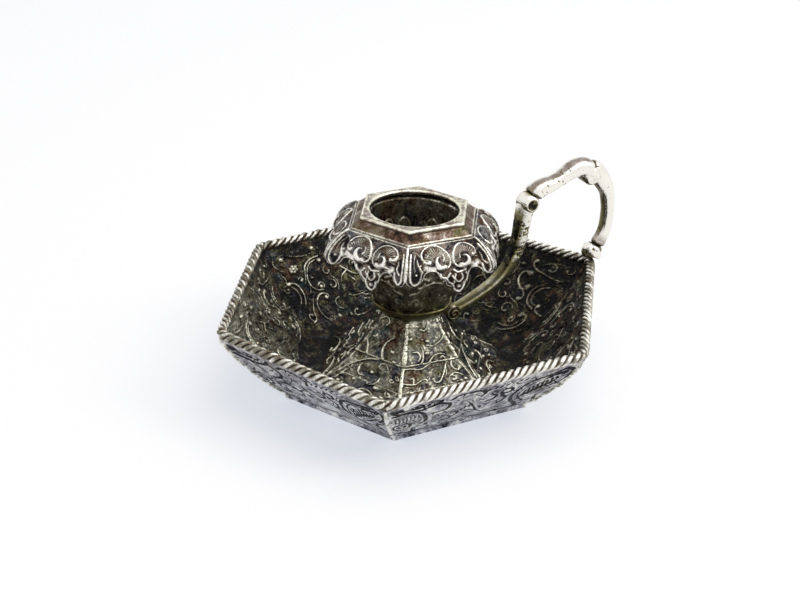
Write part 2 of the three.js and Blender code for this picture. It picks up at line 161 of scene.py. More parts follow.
# The bars' paths, as shares of the way from start to end, and their sections, as shares of BAR_T and BAR_W
ARM_SHAPE = ((0, 0), (0.12, 0.03), (0.32, 0.1), (0.53, 0.19), (0.7, 0.31), (0.82, 0.47), (0.87, 0.66),
             (0.9, 0.83), (0.94, 0.93), (1, 1))
THUMB_SHAPE = ((0, 0), (0.05, 0.17), (0.15, 0.35), (0.28, 0.46), (0.45, 0.7), (0.65, 1.09), (0.85, 1.24),
               (1, 1))
TAIL_SHAPE = ((0, 0), (0.48, 0.05), (0.95, 0.16), (1.41, 0.32), (1.57, 0.47), (1.61, 0.63), (1.48, 0.82),
              (1.23, 0.93), (1, 1))
FOOT_SHAPE = ((0, 0), (0.5, 0.5), (1, 1))
ARM_SECTION = ((0.62, 0.63), (0.57, 0.7), (0.57, 0.74), (0.76, 0.74), (0.9, 0.8), (1, 0.87), (1.12, 1))
THUMB_SECTION = ((1.12, 1), (1, 0.96), (0.8, 0.9), (0.88, 0.95), (1.08, 1.04), (1.1, 1.04))
TAIL_SECTION = ((1.1, 1.04), (1, 1), (0.76, 0.96), (0.7, 0.93), (0.68, 0.85), (0.8, 0.8))
FOOT_SECTION = ((0.86, 0.8), (1.38, 1.1), (1.3, 1.04))

# Stage: the camera's place in mm, and its view in degrees: its way seen from above, its tilt down, its roll
CAMERA_AT = (-177.674, -331.056, 208.849)
CAMERA_WAY = 62.234
CAMERA_DOWN = 26.631
CAMERA_ROLL = 1.666
LAMPS_AIM = (0, 0, 0.02)  # in metres, as are the lamps and the floor of pale paper
PAPER_REACH = 3.0


# Curves and noise

def curve_through(points, step):
    """Points at even steps along a smooth curve through the given ones.

    Each stretch is a cubic whose end slopes follow from its neighbours, with the square root of the distance
    between two points as the parameter between them, so that it doesn't overshoot.
    """
    p = np.asarray(points, float)
    p = np.vstack([2 * p[0] - p[1], p, 2 * p[-1] - p[-2]])
    gap = np.maximum(np.linalg.norm(np.diff(p, axis=0), axis=1), 1e-6) ** 0.5
    before, here, after = (gap[i : len(gap) - 2 + i, None] for i in range(3))
    p0, p1, p2, p3 = (p[i : len(p) - 3 + i] for i in range(4))
    start = ((p1 - p0) / before - (p2 - p0) / (before + here) + (p2 - p1) / here) * here
    end = ((p2 - p1) / here - (p3 - p1) / (here + after) + (p3 - p2) / after) * here
    s = np.linspace(0, 1, 24, endpoint=False)[:, None, None]
    fine = (2 * s**3 - 3 * s**2 + 1) * p1 + (s**3 - 2 * s**2 + s) * start
    fine = fine + (3 * s**2 - 2 * s**3) * p2 + (s**3 - s**2) * end
    fine = np.vstack([fine.transpose(1, 0, 2).reshape(-1, p.shape[1]), p[-2]])
    length = np.concatenate([[0], np.cumsum(np.linalg.norm(np.diff(fine, axis=0), axis=1))])
    count = max(int(math.ceil(length[-1] / step)), 2)
    at = np.linspace(0, length[-1], count + 1)
    return np.stack([np.interp(at, length, fine[:, i]) for i in range(p.shape[1])], axis=1)


def waves(places, size, seed):
    """Smooth uneven noise, about -1 to 1: a sum of sine waves of random directions, about "size" mm long."""
    random = np.random.default_rng(seed)
    total = 0
    for _ in range(9):
        way = random.normal(size=places.shape[-1])
        way *= 2 * math.pi / (size * random.uniform(0.6, 1.6) * np.linalg.norm(way))
        total = total + np.sin(places @ way + random.uniform(0, 2 * math.pi))
    return total / 4


def smooth(value, low, high):
    """0 below low, 1 above high, and a smooth step between."""
    s = np.clip((value - low) / (high - low), 0, 1)
    return s * s * (3 - 2 * s)


def rounded(near):
    """A rounded ridge: 1 in its middle and 0 from a distance of 1 on, by a circle."""
    return np.sqrt(np.clip(1 - near**2, 0, 1))


# Ornament

class Ornament:
    """A relief drawn on a flat field in mm, u across and v up: the metal's height and how bare it is worn.

    Strokes are given as listed points. The height over a stroke is a rounded ridge of the distance to
    it, worn bare along its top. Lines can be sunk too, and the metal close beside a ridge or in a line stays
    dark. weight widens every stroke, wear brightens it, knob widens every bead, and crevice is how high a
    ridge has to be beside a place to blacken it.
    """

    PITCH = 0.1

    def __init__(self, width, height, weight=1.0, wear=1.0, crevice=0.4, knob=1.0):
        self.width = width
        self.top = height
        self.weight = weight
        self.wear = wear
        self.crevice = crevice
        self.knob = knob
        self.u = np.arange(-1, width + 1 + self.PITCH, self.PITCH)
        self.v = np.arange(-1, height + 1 + self.PITCH, self.PITCH)
        self.swell, self.raised, self.sunk, self.crest, self.bare = np.zeros((5, len(self.u), len(self.v)))

    def _window(self, low, high):
        i = slice(*np.searchsorted(self.u, (low[0], high[0])))
        j = slice(*np.searchsorted(self.v, (low[1], high[1])))
        return i, j

    def _raise(self, i, j, shape, height, bare):
        """Raises a window of the field by a shape from 0 to 1, worn bare where it stands highest."""
        self.raised[i, j] = np.maximum(self.raised[i, j], height * shape)
        self.bare[i, j] = np.maximum(self.bare[i, j], bare * self.wear * shape**2)
        if height > 0.15:
            self.crest[i, j] = np.maximum(self.crest[i, j], shape)

    def stroke(self, points, width=0.4, height=0.4, taper="", sink=False, bare=1.0):
        """A ridge along the points. taper holds "s" or "e" where it thins at its start or end."""
        path = curve_through(points, 0.15)
        share = np.linspace(0, 1, len(path))
        half = np.full(len(path), float(width) * self.weight)
        for end, away in (("s", share), ("e", 1 - share)):
            if end in taper:
                half *= np.clip(away / 0.6, 0.12, 1) ** 0.7
        reach = width * self.weight
        i, j = self._window(path.min(0) - reach, path.max(0) + reach)
        du = self.u[i, None, None] - path[:, 0]
        dv = self.v[None, j, None] - path[:, 1]
        ridge = rounded((np.hypot(du, dv) / half).min(-1))
        if sink:
            self.sunk[i, j] = np.maximum(self.sunk[i, j], height * ridge)
            self.bare[i, j] = np.minimum(self.bare[i, j], -bare * ridge)
        else:
            self._raise(i, j, ridge, height, bare)

    def bead(self, u, v, radius, height=0.5, bare=1.0):
        """A round knob."""
        radius *= self.knob
        i, j = self._window((u - radius, v - radius), (u + radius, v + radius))
        near = np.hypot(self.u[i, None] - u, self.v[None, j] - v) / radius
        self._raise(i, j, rounded(near), height, bare)

    def dome(self, u, v, across, up, height):
        """A low oval swelling under the strokes: the upper half of an ellipsoid."""
        i, j = self._window((u - across, v - up), (u + across, v + up))
        near = np.hypot((self.u[i, None] - u) / across, (self.v[None, j] - v) / up)
        self.swell[i, j] = np.maximum(self.swell[i, j], height * rounded(near))

    def curl(self, u, v, radius, start, turns, width=0.35, height=0.4):
        """A spiral stroke from "start" degrees on a circle inwards to a bead, anticlockwise if turns > 0."""
        s = np.linspace(0, 1, 12)
        angle = math.radians(start) + s * turns * 2 * math.pi
        reach = radius * (1 - 0.7 * s**1.5)
        path = np.stack([u + reach * np.cos(angle), v + reach * np.sin(angle)], 1)
        self.stroke(path, width, height, "s")
        self.bead(*path[-1], width * 1.4, height * 1.1)

    def fan(self, u, v, inner, outer, start, end, ribs, height, bare):
        """Ribs that spread from a centre between two angles in degrees: a sine wave, faded at its edges."""
        i, j = self._window((u - outer, v - outer), (u + outer, v + outer))
        du, dv = self.u[i, None] - u, self.v[None, j] - v
        reach = np.hypot(du, dv)
        share = (np.degrees(np.arctan2(dv, du)) - start) % 360 / (end - start)
        inside = smooth(reach, inner, inner + 0.5) * (1 - smooth(reach, outer - 0.5, outer)) * (share < 1)
        self._raise(i, j, np.sqrt(np.abs(np.sin(share * ribs * math.pi)) * inside), height, bare)

    def leaf(self, start, end, width, bend=0.0):
        """A pointed leaf with a sunk vein, bent sideways by "bend" times its length."""
        a, b = np.array(start, float), np.array(end, float)
        side = np.array([a[1] - b[1], b[0] - a[0]]) * bend
        middle = (a + b) / 2 + side
        self.stroke([a, middle, b], width, 0.4, "se", bare=0.8)
        vein = [a * 0.8 + middle * 0.2, middle, b * 0.7 + middle * 0.3]
        self.stroke(vein, width * 0.22, 0.24, "se", True)

    def scatter(self, count, seed, size, height, bare, sink=False):
        """Fills the plain places with small curved cuts of the tool, placed and turned at random."""
        random = np.random.default_rng(seed)
        for _ in range(count):
            middle = np.array([random.uniform(0, self.width), random.uniform(0, self.top)])
            angle, bend, scale = (random.uniform(*span) for span in ((0, math.pi), (-0.5, 0.5), (0.5, 1.4)))
            i, j = np.searchsorted(self.u, middle[0]), np.searchsorted(self.v, middle[1])
            if self.raised[i, j] == 0 and self.sunk[i, j] == 0:
                way = np.array([math.cos(angle), math.sin(angle)]) * size * scale
                side = np.array([-way[1], way[0]]) * bend
                self.stroke([middle - way, middle + side, middle + way], 0.26, height, "se", sink, bare)

    def finished(self):
        """Works out the dark crevices beside the ridges and the painted highlights beside the sunk lines.

        Each is where the ridges, or the lines, averaged over 0.5 mm, are more than at the place itself.
        """
        lines = np.clip(-self.bare, 0, 1)
        crevices = np.clip((self._around(self.crest) - self.crest) / self.crevice, 0, 1) * (self.bare < 0.3)
        # Painted highlights beside the sunk lines, as if their edges caught the light
        painted_highlights = np.clip((self._around(lines) - lines) * 1.6, 0, 0.8) * (lines == 0)
        self.height = self.swell + self.raised - self.sunk
        self.worn = np.clip(self.bare - crevices + painted_highlights, -1, 1)
        return self

    def _around(self, field):
        """The field averaged twice over squares of 0.5 mm."""
        for axis in (0, 1, 0, 1):
            field = sum(np.roll(field, n, axis) for n in range(-2, 3)) / 5
        return field

    def at(self, u, v):
        """Height in mm and wear from -1 to 1 at places in the field, read between the nearest four points."""
        x = np.clip((u - self.u[0]) / self.PITCH, 0, len(self.u) - 1.001)
        y = np.clip((v - self.v[0]) / self.PITCH, 0, len(self.v) - 1.001)
        i, j = x.astype(int), y.astype(int)
        x, y = x - i, y - j

        def read(field):
            low = field[i, j] * (1 - x) + field[i + 1, j] * x
            high = field[i, j + 1] * (1 - x) + field[i + 1, j + 1] * x
            return low * (1 - y) + high * y

        return read(self.height), read(self.worn)


def bareness(ground, worn):
    """How bare the metal is, 0 to 1: the ground's own share, more where wear is above 0 and less below it."""
    return np.clip(ground + worn * np.where(worn > 0, 1 - ground, ground), 0, 1)


def wall_inside_ornament():
    """The scrollwork inside a panel of the dish: scrolls at both corners and a spray between them."""
    o = Ornament(43.7, 24, 0.82, 0.78, knob=1.3)
    # Beside the first corner
    o.stroke([(9.7, 14), (9.6, 13.3), (11, 13.1), (12.6, 14.5), (13.1, 16.5), (12.4, 18), (11, 18.4)], 0.42)
    o.bead(10.9, 18, 0.75)
    o.bead(9.9, 14.1, 0.7)
    o.stroke([(11.6, 13), (10.4, 12.6), (9.4, 11.5), (9.3, 10.4), (10, 9.9)], 0.36)
    o.bead(10.1, 10.2, 0.6)
    o.stroke([(4.6, 17), (6.4, 16), (7.8, 14.2), (8.1, 12), (7.2, 9.6), (5, 8.4)], 0.42, taper="s")
    o.stroke([(4.4, 15.6), (6, 14.7), (6.9, 13), (7, 11.6), (6.2, 10), (4.6, 9.4)], 0.3)
    o.leaf((5.2, 17.6), (1.2, 18.8), 0.6, 0.12)
    o.leaf((4.6, 16.4), (1.4, 16.4), 0.5, -0.1)
    o.stroke([(4, 9.6), (4.1, 8.6), (3.2, 7.9), (1, 7.4)], 0.34)
    o.bead(3.8, 9.5, 0.6)
    o.stroke([(11, 22), (11.2, 20.8), (10.2, 19.7), (8, 18.9), (5, 18.1), (1, 18.3)], 0.38, taper="e")
    o.bead(10.8, 22, 0.65)
    o.bead(13.6, 20, 0.55)
    o.stroke([(6.4, 6.4), (5.2, 6.5), (4.1, 5.2), (4.6, 3.2), (7, 1.9), (10.5, 1.4), (14, 1.6)], 0.4,
             taper="e")
    o.stroke([(5.6, 4.4), (6.4, 3.2), (8.4, 2.7), (11, 2.8)], 0.26)
    o.bead(6.5, 6.2, 0.75)
    o.leaf((2.2, 13.8), (2.6, 10.6), 0.55, 0.2)
    o.leaf((1.2, 5), (3.4, 1.6), 0.5, -0.2)
    # Spray in the middle
    for angle in range(-30, 250, 35):
        a = math.radians(angle)
        reach = 3 + 0.7 * math.sin(3 * a)
        tip = (23.6 + reach * math.cos(a), 20.2 + 0.75 * reach * math.sin(a))
        o.leaf((23.6 + 0.7 * math.cos(a), 20.2 + 0.6 * math.sin(a)), tip, 0.62, 0.08)
    o.bead(23.6, 20.2, 0.7)
    o.stroke([(24, 15.4), (22, 13.6), (20, 12.4), (17.5, 12.2)], 0.36, taper="e")
    o.stroke([(22, 12), (20.6, 10.6), (19.6, 9.2)], 0.34, taper="e")
    o.stroke([(22.2, 14), (24.2, 12.6), (25, 10.4)], 0.34, taper="e")
    o.leaf((23.6, 8.6), (18.6, 7), 0.5, 0.08)
    o.leaf((23.4, 4.2), (18.6, 3.3), 0.5, 0.08)
    o.leaf((17, 15.4), (17.2, 10.4), 0.5, 0.14)
    o.stroke([(25, 8), (22, 6.4), (18.5, 6.5), (15, 7.5)], 0.3, taper="se")
    o.stroke([(15, 5), (17.5, 4.8), (20.5, 5.4)], 0.28, taper="se")
    o.leaf((26.6, 13.6), (25.6, 17.4), 0.55, 0.14)
    o.leaf((20.6, 17.4), (18.4, 19.6), 0.5, 0.1)
    o.leaf((16.2, 21), (19.2, 22.3), 0.5, 0.14)
    # Beside the second corner
    o.stroke([(29.3, 19.6), (31.8, 19.1), (33.7, 17.6), (34.5, 15.2), (35.3, 12.6), (36.7, 10.8)], 0.42,
             taper="e")
    o.stroke([(30.6, 18.6), (32.6, 17.6), (33.6, 15.8), (34.4, 13.2), (34, 11), (32.8, 10), (31, 9.8)], 0.32)
    o.bead(29.3, 18.3, 0.7)
    o.stroke([(32.2, 11.2), (31.3, 12), (30.3, 11.4), (30.6, 10.3)], 0.34)
    o.bead(31.3, 10.8, 0.62)
    o.bead(30.7, 22.5, 0.6)
    o.bead(33, 13.5, 0.4)
    o.bead(40, 21, 0.55)
    o.leaf((38.4, 22), (34.4, 21), 0.55, 0.1)
    o.leaf((34.2, 20.5), (29.4, 21.7), 0.5, -0.12)
    for angle in range(0, 360, 60):
        a = math.radians(angle + 20)
        o.bead(37.5 + 0.95 * math.cos(a), 17.4 + 0.95 * math.sin(a), 0.5, 0.34)
    o.bead(37.5, 17.4, 0.45, 0.5)
    o.leaf((39, 18.2), (41.6, 19.6), 0.5, 0.1)
    o.leaf((38.6, 16.2), (41, 14.6), 0.5, -0.1)
    o.stroke([(40.4, 13.7), (38.4, 12.6), (37.6, 10.2), (38, 8), (39.4, 5.9), (41.2, 4.7)], 0.42, taper="e")
    o.stroke([(40.2, 12.4), (39.2, 11), (39, 9), (40, 7.2)], 0.28)
    o.bead(40.6, 13.2, 0.65)
    o.stroke([(31, 7.5), (30.2, 7.9), (30.8, 8.6), (32.2, 8.8), (33.7, 8), (34.9, 6.3), (35.1, 4.4),
              (34.3, 2.5), (32.6, 1.2), (29, 1)], 0.38, taper="e")
    o.stroke([(32.4, 9.6), (34.8, 8.6), (36.3, 6.4), (37.2, 4.6), (37.8, 2.6), (39.6, 1.6)], 0.3, taper="s")
    o.bead(31.1, 7.6, 0.65)
    o.bead(29.4, 2, 0.6)
    o.bead(25.2, 1.6, 0.5)
    o.leaf((41.4, 9.6), (42.4, 6.2), 0.5, 0.1)
    o.stroke([(27, 3.6), (28.6, 4.8), (28.4, 6.6), (27, 7.2)], 0.28)
    # Small spirals in the plain places
    for spiral in ((6.6, 20.6, 1.9, 0, 0.8), (14.9, 10.4, 1.7, 90, -0.9), (20.4, 15.8, 1, 200, 1.1),
                   (27.8, 10.9, 1.6, 30, 0.9), (12, 6.6, 2.1, 250, -1), (22.6, 2, 1.5, 180, 0.8),
                   (36.4, 13.6, 0.9, 300, 0.9), (41.8, 11.6, 1.2, 90, -0.8), (28, 15, 1.3, 120, -0.8),
                   (8.4, 4.6, 1.1, 20, 1.2), (17.8, 22.6, 1.4, 0, -0.7), (38.8, 3.4, 1.4, 200, 0.8),
                   (2.4, 21.6, 1.5, 90, 0.7), (25.4, 22.8, 0.8, 270, 1), (15.4, 13.6, 1.2, 0, 0.8)):
        o.curl(*spiral, 0.3)
    # Long thin lines between the scrolls
    for line in ([(38.8, 22.4), (35.4, 21.1), (32, 20.8), (29, 21.6)],
                 [(43, 12.2), (41.2, 13.4), (41, 15.6), (42.4, 17.4)],
                 [(28.8, 7.4), (26.4, 9), (26, 11.6), (27.4, 13.8), (26.8, 16.4)],
                 [(36.4, 8.6), (35, 10), (34.2, 12.6)],
                 [(33.4, 0.9), (36, 0.4), (38.4, 1.4), (39.8, 3)],
                 [(16.4, 22.6), (14.6, 20), (14.8, 17), (16.4, 14.4)],
                 [(12.8, 8.2), (14.4, 6.2), (17.6, 5.8), (21, 7.2), (23.6, 6.8)],
                 [(2, 3), (5, 1), (9, 0.5), (14, 0.8)],
                 [(13.8, 11.4), (12.2, 9.8), (9.6, 8.6), (8.4, 6.8)],
                 [(15, 3.2), (18.4, 1.6), (22.6, 1), (26.6, 2.2)],
                 [(3, 23), (6.4, 22.6), (9, 21.2), (10, 19.6)],
                 [(41.6, 22.6), (42.4, 20), (41, 17.8), (39.4, 17.4)]):
        o.stroke(line, 0.3, 0.36, "se")
    # Folds along the sides, where the panels meet
    for u in (0, 43.7):
        o.stroke([(u, 0), (u, 12), (u, 24)], 0.5, 0.22, bare=0.4)
    o.scatter(420, 1, 0.8, 0.14, 0.55)
    return o.finished()


def wall_outside_ornament():
    """The outside of a panel: scrolls, ovals and a ribbed shell sunk as lines into a smooth face."""
    o = Ornament(47.5, 24, 1.45)

    def line(points, width=0.34, depth=0.34, taper=""):
        o.stroke(points, width, depth, taper, True, 1.7)

    def oval(u, v, across, up):
        angles = np.radians(np.arange(0, 361, 30))
        line(np.stack([u + across * np.cos(angles), v + up * np.sin(angles)], 1))

    line([(1.6, 24), (1.8, 21.8), (3.4, 20.6), (6, 20.2), (10, 20.4), (12.6, 21.6), (13.4, 23)], 0.4)
    line([(3.4, 23.8), (3.6, 22.4), (6, 21.6), (9.4, 21.8), (11.4, 23)], 0.26)
    oval(3.1, 22.8, 0.7, 0.6)
    oval(8, 22.6, 0.8, 0.6)
    oval(3.6, 10, 2.6, 2.5)
    oval(3.6, 10, 1.1, 1)
    line([(1.6, 19.8), (5, 19.8), (8.2, 18.7), (9.8, 15), (10.1, 11.4), (8.8, 9.4)], 0.4)
    line([(10.4, 9), (10.2, 6.6), (7.6, 6), (6.4, 3.4), (7, 0.8)], 0.36)
    for i in range(7):
        u = 1.7 + 1.05 * i
        line([(u, 12.8 + 0.2 * i), (u + 0.3, 15.6), (u - 0.1, 18.8 - 0.2 * i)], 0.24, 0.26, "se")
    line([(13.6, 21.4), (15.4, 19.8), (15.2, 17.4), (13.8, 15.8), (11.6, 15.2)], 0.38)
    line([(15.8, 21.8), (17.6, 23.2), (20.4, 23.3), (23, 22.4), (24.2, 20.6), (23.6, 18.9)], 0.38)
    for i in range(8):
        line([(24.6 + 1.5 * i, 21.2 + 0.1 * i), (25.3 + 1.5 * i, 22.3 + 0.1 * i)], 0.36, 0.3, "se")
    line([(17.3, 10.8), (19, 12.6), (20.6, 13.6)], 0.3, 0.3, "se")
    line([(19.8, 18.4), (21.8, 14.4), (24, 10), (26, 7.6), (28.4, 5.8)], 0.36, 0.3, "se")
    line([(21.4, 15.4), (23.8, 16.2), (26.6, 15.4)], 0.3, 0.3, "se")
    line([(12, 3), (15, 4.6), (19, 5), (23, 4), (26.4, 2.4), (30, 2.2)], 0.34, 0.3, "se")
    line([(13, 8.8), (15.4, 9.6), (17, 8.4), (16.4, 6.8), (14.8, 7)], 0.3)
    line([(2, 3), (5, 1.8), (11, 2.2), (17, 1.5), (24, 2.2), (31, 1.4), (38, 2), (43, 1.4)], 0.42, 0.3)
    line([(12, 12.6), (14.6, 13.6), (17, 12.8), (18.4, 10.6), (17.4, 8.6)], 0.34, 0.3)
    line([(26.4, 18.6), (28, 16.8), (27.6, 14.8), (25.8, 14)], 0.34, 0.3)
    line([(19.6, 7.2), (22.4, 8.2), (25, 7.4)], 0.32, 0.3, "se")
    line([(31, 6.4), (33.4, 5.4), (34.6, 3.6)], 0.32, 0.3, "se")
    # The ribbed shell
    line([(44, 23), (41, 21.8), (37.4, 20.8), (34.6, 18.8), (33.3, 15.6), (33.6, 12), (35.4, 8.6), (38.8, 5),
          (42, 1)], 0.42)
    line([(44, 23), (46.2, 21.4), (46.4, 18), (45.2, 14.8)], 0.36)
    line([(42.6, 21), (38.6, 19.6), (36.2, 17.6), (35.2, 15), (35.4, 12.4), (37, 9.6), (40, 6.6)], 0.24)
    for i in range(8):
        u, v = 36.3 + 0.95 * i, 10.6 + 0.75 * i
        line([(u, v), (u + 0.6, v + 2.4), (u, v + 4.6 - 0.15 * i)], 0.27, 0.34)
    line([(36.2, 9.6), (39, 10.2), (42, 12.2), (44.4, 15.6)], 0.3)
    for i in range(4):
        u, v = 36 + 1.9 * i, 4.4 + 1.4 * i
        line([(u, v), (u + 1.5, v + 0.6), (u + 2.6, v + 2.4)], 0.38, 0.3, "se")
    for u, v in ((41, 20.2), (42.6, 20.9), (44.2, 21)):
        oval(u, v, 0.6, 0.5)
    line([(45.7, 12.8), (43.8, 11.2), (43.4, 8.8), (44.4, 6), (46.6, 3)], 0.38)
    line([(29.4, 16.6), (31.2, 14.4), (31, 11.6), (29.2, 10)], 0.34, 0.3)
    line([(27.6, 13), (29.4, 12.6), (30, 11)], 0.28, 0.26, "se")
    oval(30.3, 18.4, 1.4, 1.2)
    o.scatter(230, 2, 1.1, 0.14, 1.3, True)
    return o.finished()


def foot_ornament(kind):
    """A side of the stem's foot, 20 mm across and 12.6 mm up its slope. kind 0 and 1 are the two designs."""
    o = Ornament(20, 12.6, 0.85, 1.4, 0.2, 1.15)
    if kind == 0:
        o.stroke([(-0.4, 12.1), (3, 11.7), (6, 11.2), (9.6, 12.4)], 0.36)
        o.stroke([(-0.4, 8.2), (2, 7.5), (4, 7.2), (6, 8.1), (7.2, 8), (7.5, 7.1)], 0.36)
        o.bead(7.3, 7.1, 0.5)
        o.stroke([(2.6, 9), (3.5, 8.8), (3.5, 7.5)], 0.34)
        o.stroke([(9.2, 7.7), (9.5, 6.9), (10.6, 6.7), (12, 8), (13.2, 9.6), (15.3, 12.2)], 0.4)
        o.bead(9.3, 7.7, 0.5)
        o.stroke([(12.4, 7.2), (13.4, 8.6), (14.5, 11)], 0.3, taper="se")
        o.leaf((14.7, 9.6), (15.9, 12.3), 0.4, 0.1)
        o.stroke([(17.2, 12.2), (16.4, 11), (16.4, 9.9), (17.3, 9.2), (18.3, 9.7)], 0.42)
        o.bead(18.2, 9.8, 0.55)
        o.curl(14.8, 7, 1.1, 200, -0.9, 0.32)
        o.stroke([(14.1, 7.8), (15.3, 8.4), (16.8, 8.2), (17.8, 7.4)], 0.3)
        o.bead(2, 5.4, 0.5)
        o.leaf((2.6, 6.4), (4, 4.6), 0.4, 0.2)
        o.bead(16.4, 6, 0.5)
        o.bead(17.8, 6.3, 0.5)
        o.stroke([(1, 1), (3.4, 3.4), (6.4, 4), (8.6, 2.6), (8, 1.2), (6.6, 1.6)], 0.36)
        o.stroke([(19, 1), (16.6, 3.4), (13.6, 4), (11.4, 2.6), (12, 1.2), (13.4, 1.6)], 0.36)
        o.leaf((10, 1.2), (10, 5.2), 0.6)
    else:
        o.stroke([(0.8, 1.6), (1.3, 5.4), (3, 8.8), (6.2, 11.2), (10, 12.3)], 0.42)
        o.stroke([(2.2, 3), (2.8, 5.8), (4.4, 8.2), (7, 10)], 0.26, taper="e")
        o.curl(3.6, 2.6, 1.1, 120, -0.9, 0.34)
        o.curl(7.6, 1.4, 0.9, 60, 0.9, 0.32)
        o.curl(10.2, 1.8, 0.9, 120, -0.9, 0.32)
        o.stroke([(5.7, 10.4), (5.5, 8.8), (6.1, 7.2), (7.2, 6.4), (8.2, 6.5)], 0.42, taper="s")
        o.bead(10, 8.2, 0.6)
        o.stroke([(13.2, 8.1), (13, 6.4), (12.2, 5.2), (10.8, 4.6)], 0.42, taper="se")
        o.bead(12.9, 4.4, 0.55)
        o.curl(16.8, 7.9, 0.8, 90, -1, 0.28)
        o.curl(18.6, 9.1, 0.8, 90, 1, 0.28)
        o.curl(16.8, 3.9, 0.9, 90, 1, 0.3)
        o.bead(15.2, 2.6, 0.5)
        o.leaf((-0.2, 5.4), (2, 1.8), 0.55, 0.1)
        o.leaf((0.6, 9.4), (1.2, 6.4), 0.55, 0.1)
        o.bead(2.7, 4.8, 0.55)
        o.leaf((4.2, 4.8), (5.2, 2.4), 0.45, 0.1)
        o.bead(6.4, 4.6, 0.5)
        o.leaf((6.3, 3.6), (6.6, 2), 0.4)
        o.stroke([(14.6, 10.6), (13.6, 11.6), (12, 11.4), (11.2, 10.2)], 0.32)
        o.leaf((3.2, 8.8), (4.4, 6.2), 0.4, -0.1)
        o.stroke([(8.4, 1.4), (10.4, 3), (12.6, 2.6), (13.4, 1)], 0.36)
        o.leaf((17.4, 6.4), (19.6, 7.6), 0.4)
    o.stroke([(0, 5.3), (10, 5.3), (20, 5.3)], 0.24, 0.14, bare=0.5)
    o.scatter(90, 3 + kind, 0.6, 0.14, 0.5)
    return o.finished()


def pillar_ornament(kind):
    """A side of the stem's pillar, 12 mm across and 11.6 mm up. kind 0 and 1 are the two designs."""
    o = Ornament(12, 11.6, 0.85, 1.35, 0.2, 1.15)
    if kind == 0:
        o.bead(1.4, 6.8, 0.6)
        o.stroke([(2.1, 3.3), (3.2, 3.2), (3.8, 2), (3.3, 1)], 0.34)
        o.stroke([(4.3, 4.9), (4.6, 3), (4.3, 1.2), (3.7, 0.2)], 0.34, taper="s")
        o.bead(5.5, 2.6, 0.55)
        o.bead(6.3, 5.6, 0.6)
        o.stroke([(5.8, 4.6), (7.5, 4.2), (9.2, 4.8), (10.6, 5.6), (11.6, 6.5)], 0.34)
        o.stroke([(5.6, 0.4), (6.8, 1.6), (8.1, 2), (9.4, 1.7), (10.2, 1.1)], 0.34, taper="e")
        o.stroke([(4.6, 8.9), (5.8, 8.4), (6.9, 8.9), (7.7, 10), (8, 11.6)], 0.42)
        o.bead(4.8, 8.8, 0.5)
        o.leaf((9.2, 10.1), (11, 10.6), 0.42)
        o.stroke([(8.2, 0.9), (8.9, 1.3), (9.2, 0.7)], 0.26)
        o.leaf((1, 2.6), (0.6, 0.8), 0.4)
    else:
        o.stroke([(6.9, 0.2), (6.1, 1.8), (6, 3.4), (6.7, 5), (8.2, 6.2), (9.6, 6.2)], 0.34, taper="e")
        o.stroke([(0.8, 3.6), (1.9, 2.2), (2.9, 0)], 0.32)
        o.stroke([(1.6, 5), (2.5, 5), (2.5, 5.8)], 0.34)
        o.leaf((5.1, 4), (4.4, 2.7), 0.42)
        o.bead(8.6, 2.8, 0.55)
        o.bead(9.7, 0.6, 0.5)
        o.stroke([(1, 10.2), (2.4, 11), (4, 10.6), (4.6, 9.4), (3.8, 8.6)], 0.34)
        o.leaf((6, 10.8), (6.2, 9.6), 0.4)
        o.leaf((0.6, 3), (0.7, 1.4), 0.34)
        o.leaf((8.8, 5.4), (9.6, 4), 0.4)
    o.stroke([(0, 0.2), (6, 0.2), (12, 0.2)], 0.3, 0.25, bare=0.7)
    o.scatter(50, 6 + kind, 0.5, 0.12, 0.5)
    return o.finished()


def socket_ornament():
    """A side of the socket, 15 mm across and 24.7 mm up: curls and leaves that rise to its mouth."""
    o = Ornament(15, 24.7, 0.8, 0.8)
    for side in (-1, 1):
        o.stroke([(7.5 + side * 5.6, 1.6), (7.5 + side * 3.2, 2.4), (7.5 + side * 0.8, 4.4)], 0.45, 0.3, "e")
        o.curl(7.5 + side * 4.4, 5.6, 1.7, 250, side * 0.9, 0.45, 0.3)
        o.stroke([(7.5 + side * 6.4, 8.6), (7.5 + side * 4, 9.4), (7.5 + side * 2.4, 12)], 0.45, 0.3)
        o.bead(7.5 + side * 6.6, 5.2, 0.6, 0.3)
        o.bead(7.5 + side * 2.2, 7.6, 0.5, 0.3)
        o.stroke([(7.5 + side * 1.6, 13), (7.5 + side * 4, 14.6), (7.5 + side * 4.4, 17.6),
                  (7.5 + side * 2.4, 19.4), (7.5 + side * 0.9, 17.6), (7.5 + side * 2, 16)], 0.5, 0.34)
        o.bead(7.5 + side * 6, 12.4, 0.6, 0.36)
        o.leaf((7.5 + side * 5.6, 14.6), (7.5 + side * 5.9, 20.6), 0.6, 0.1)
    o.leaf((7.5, 3), (7.5, 10.6), 0.75)
    o.stroke([(3.5, 10.6), (7.5, 12), (11.5, 10.6)], 0.36, 0.3)
    o.scatter(120, 8, 0.7, 0.14, 0.6)
    return o.finished()


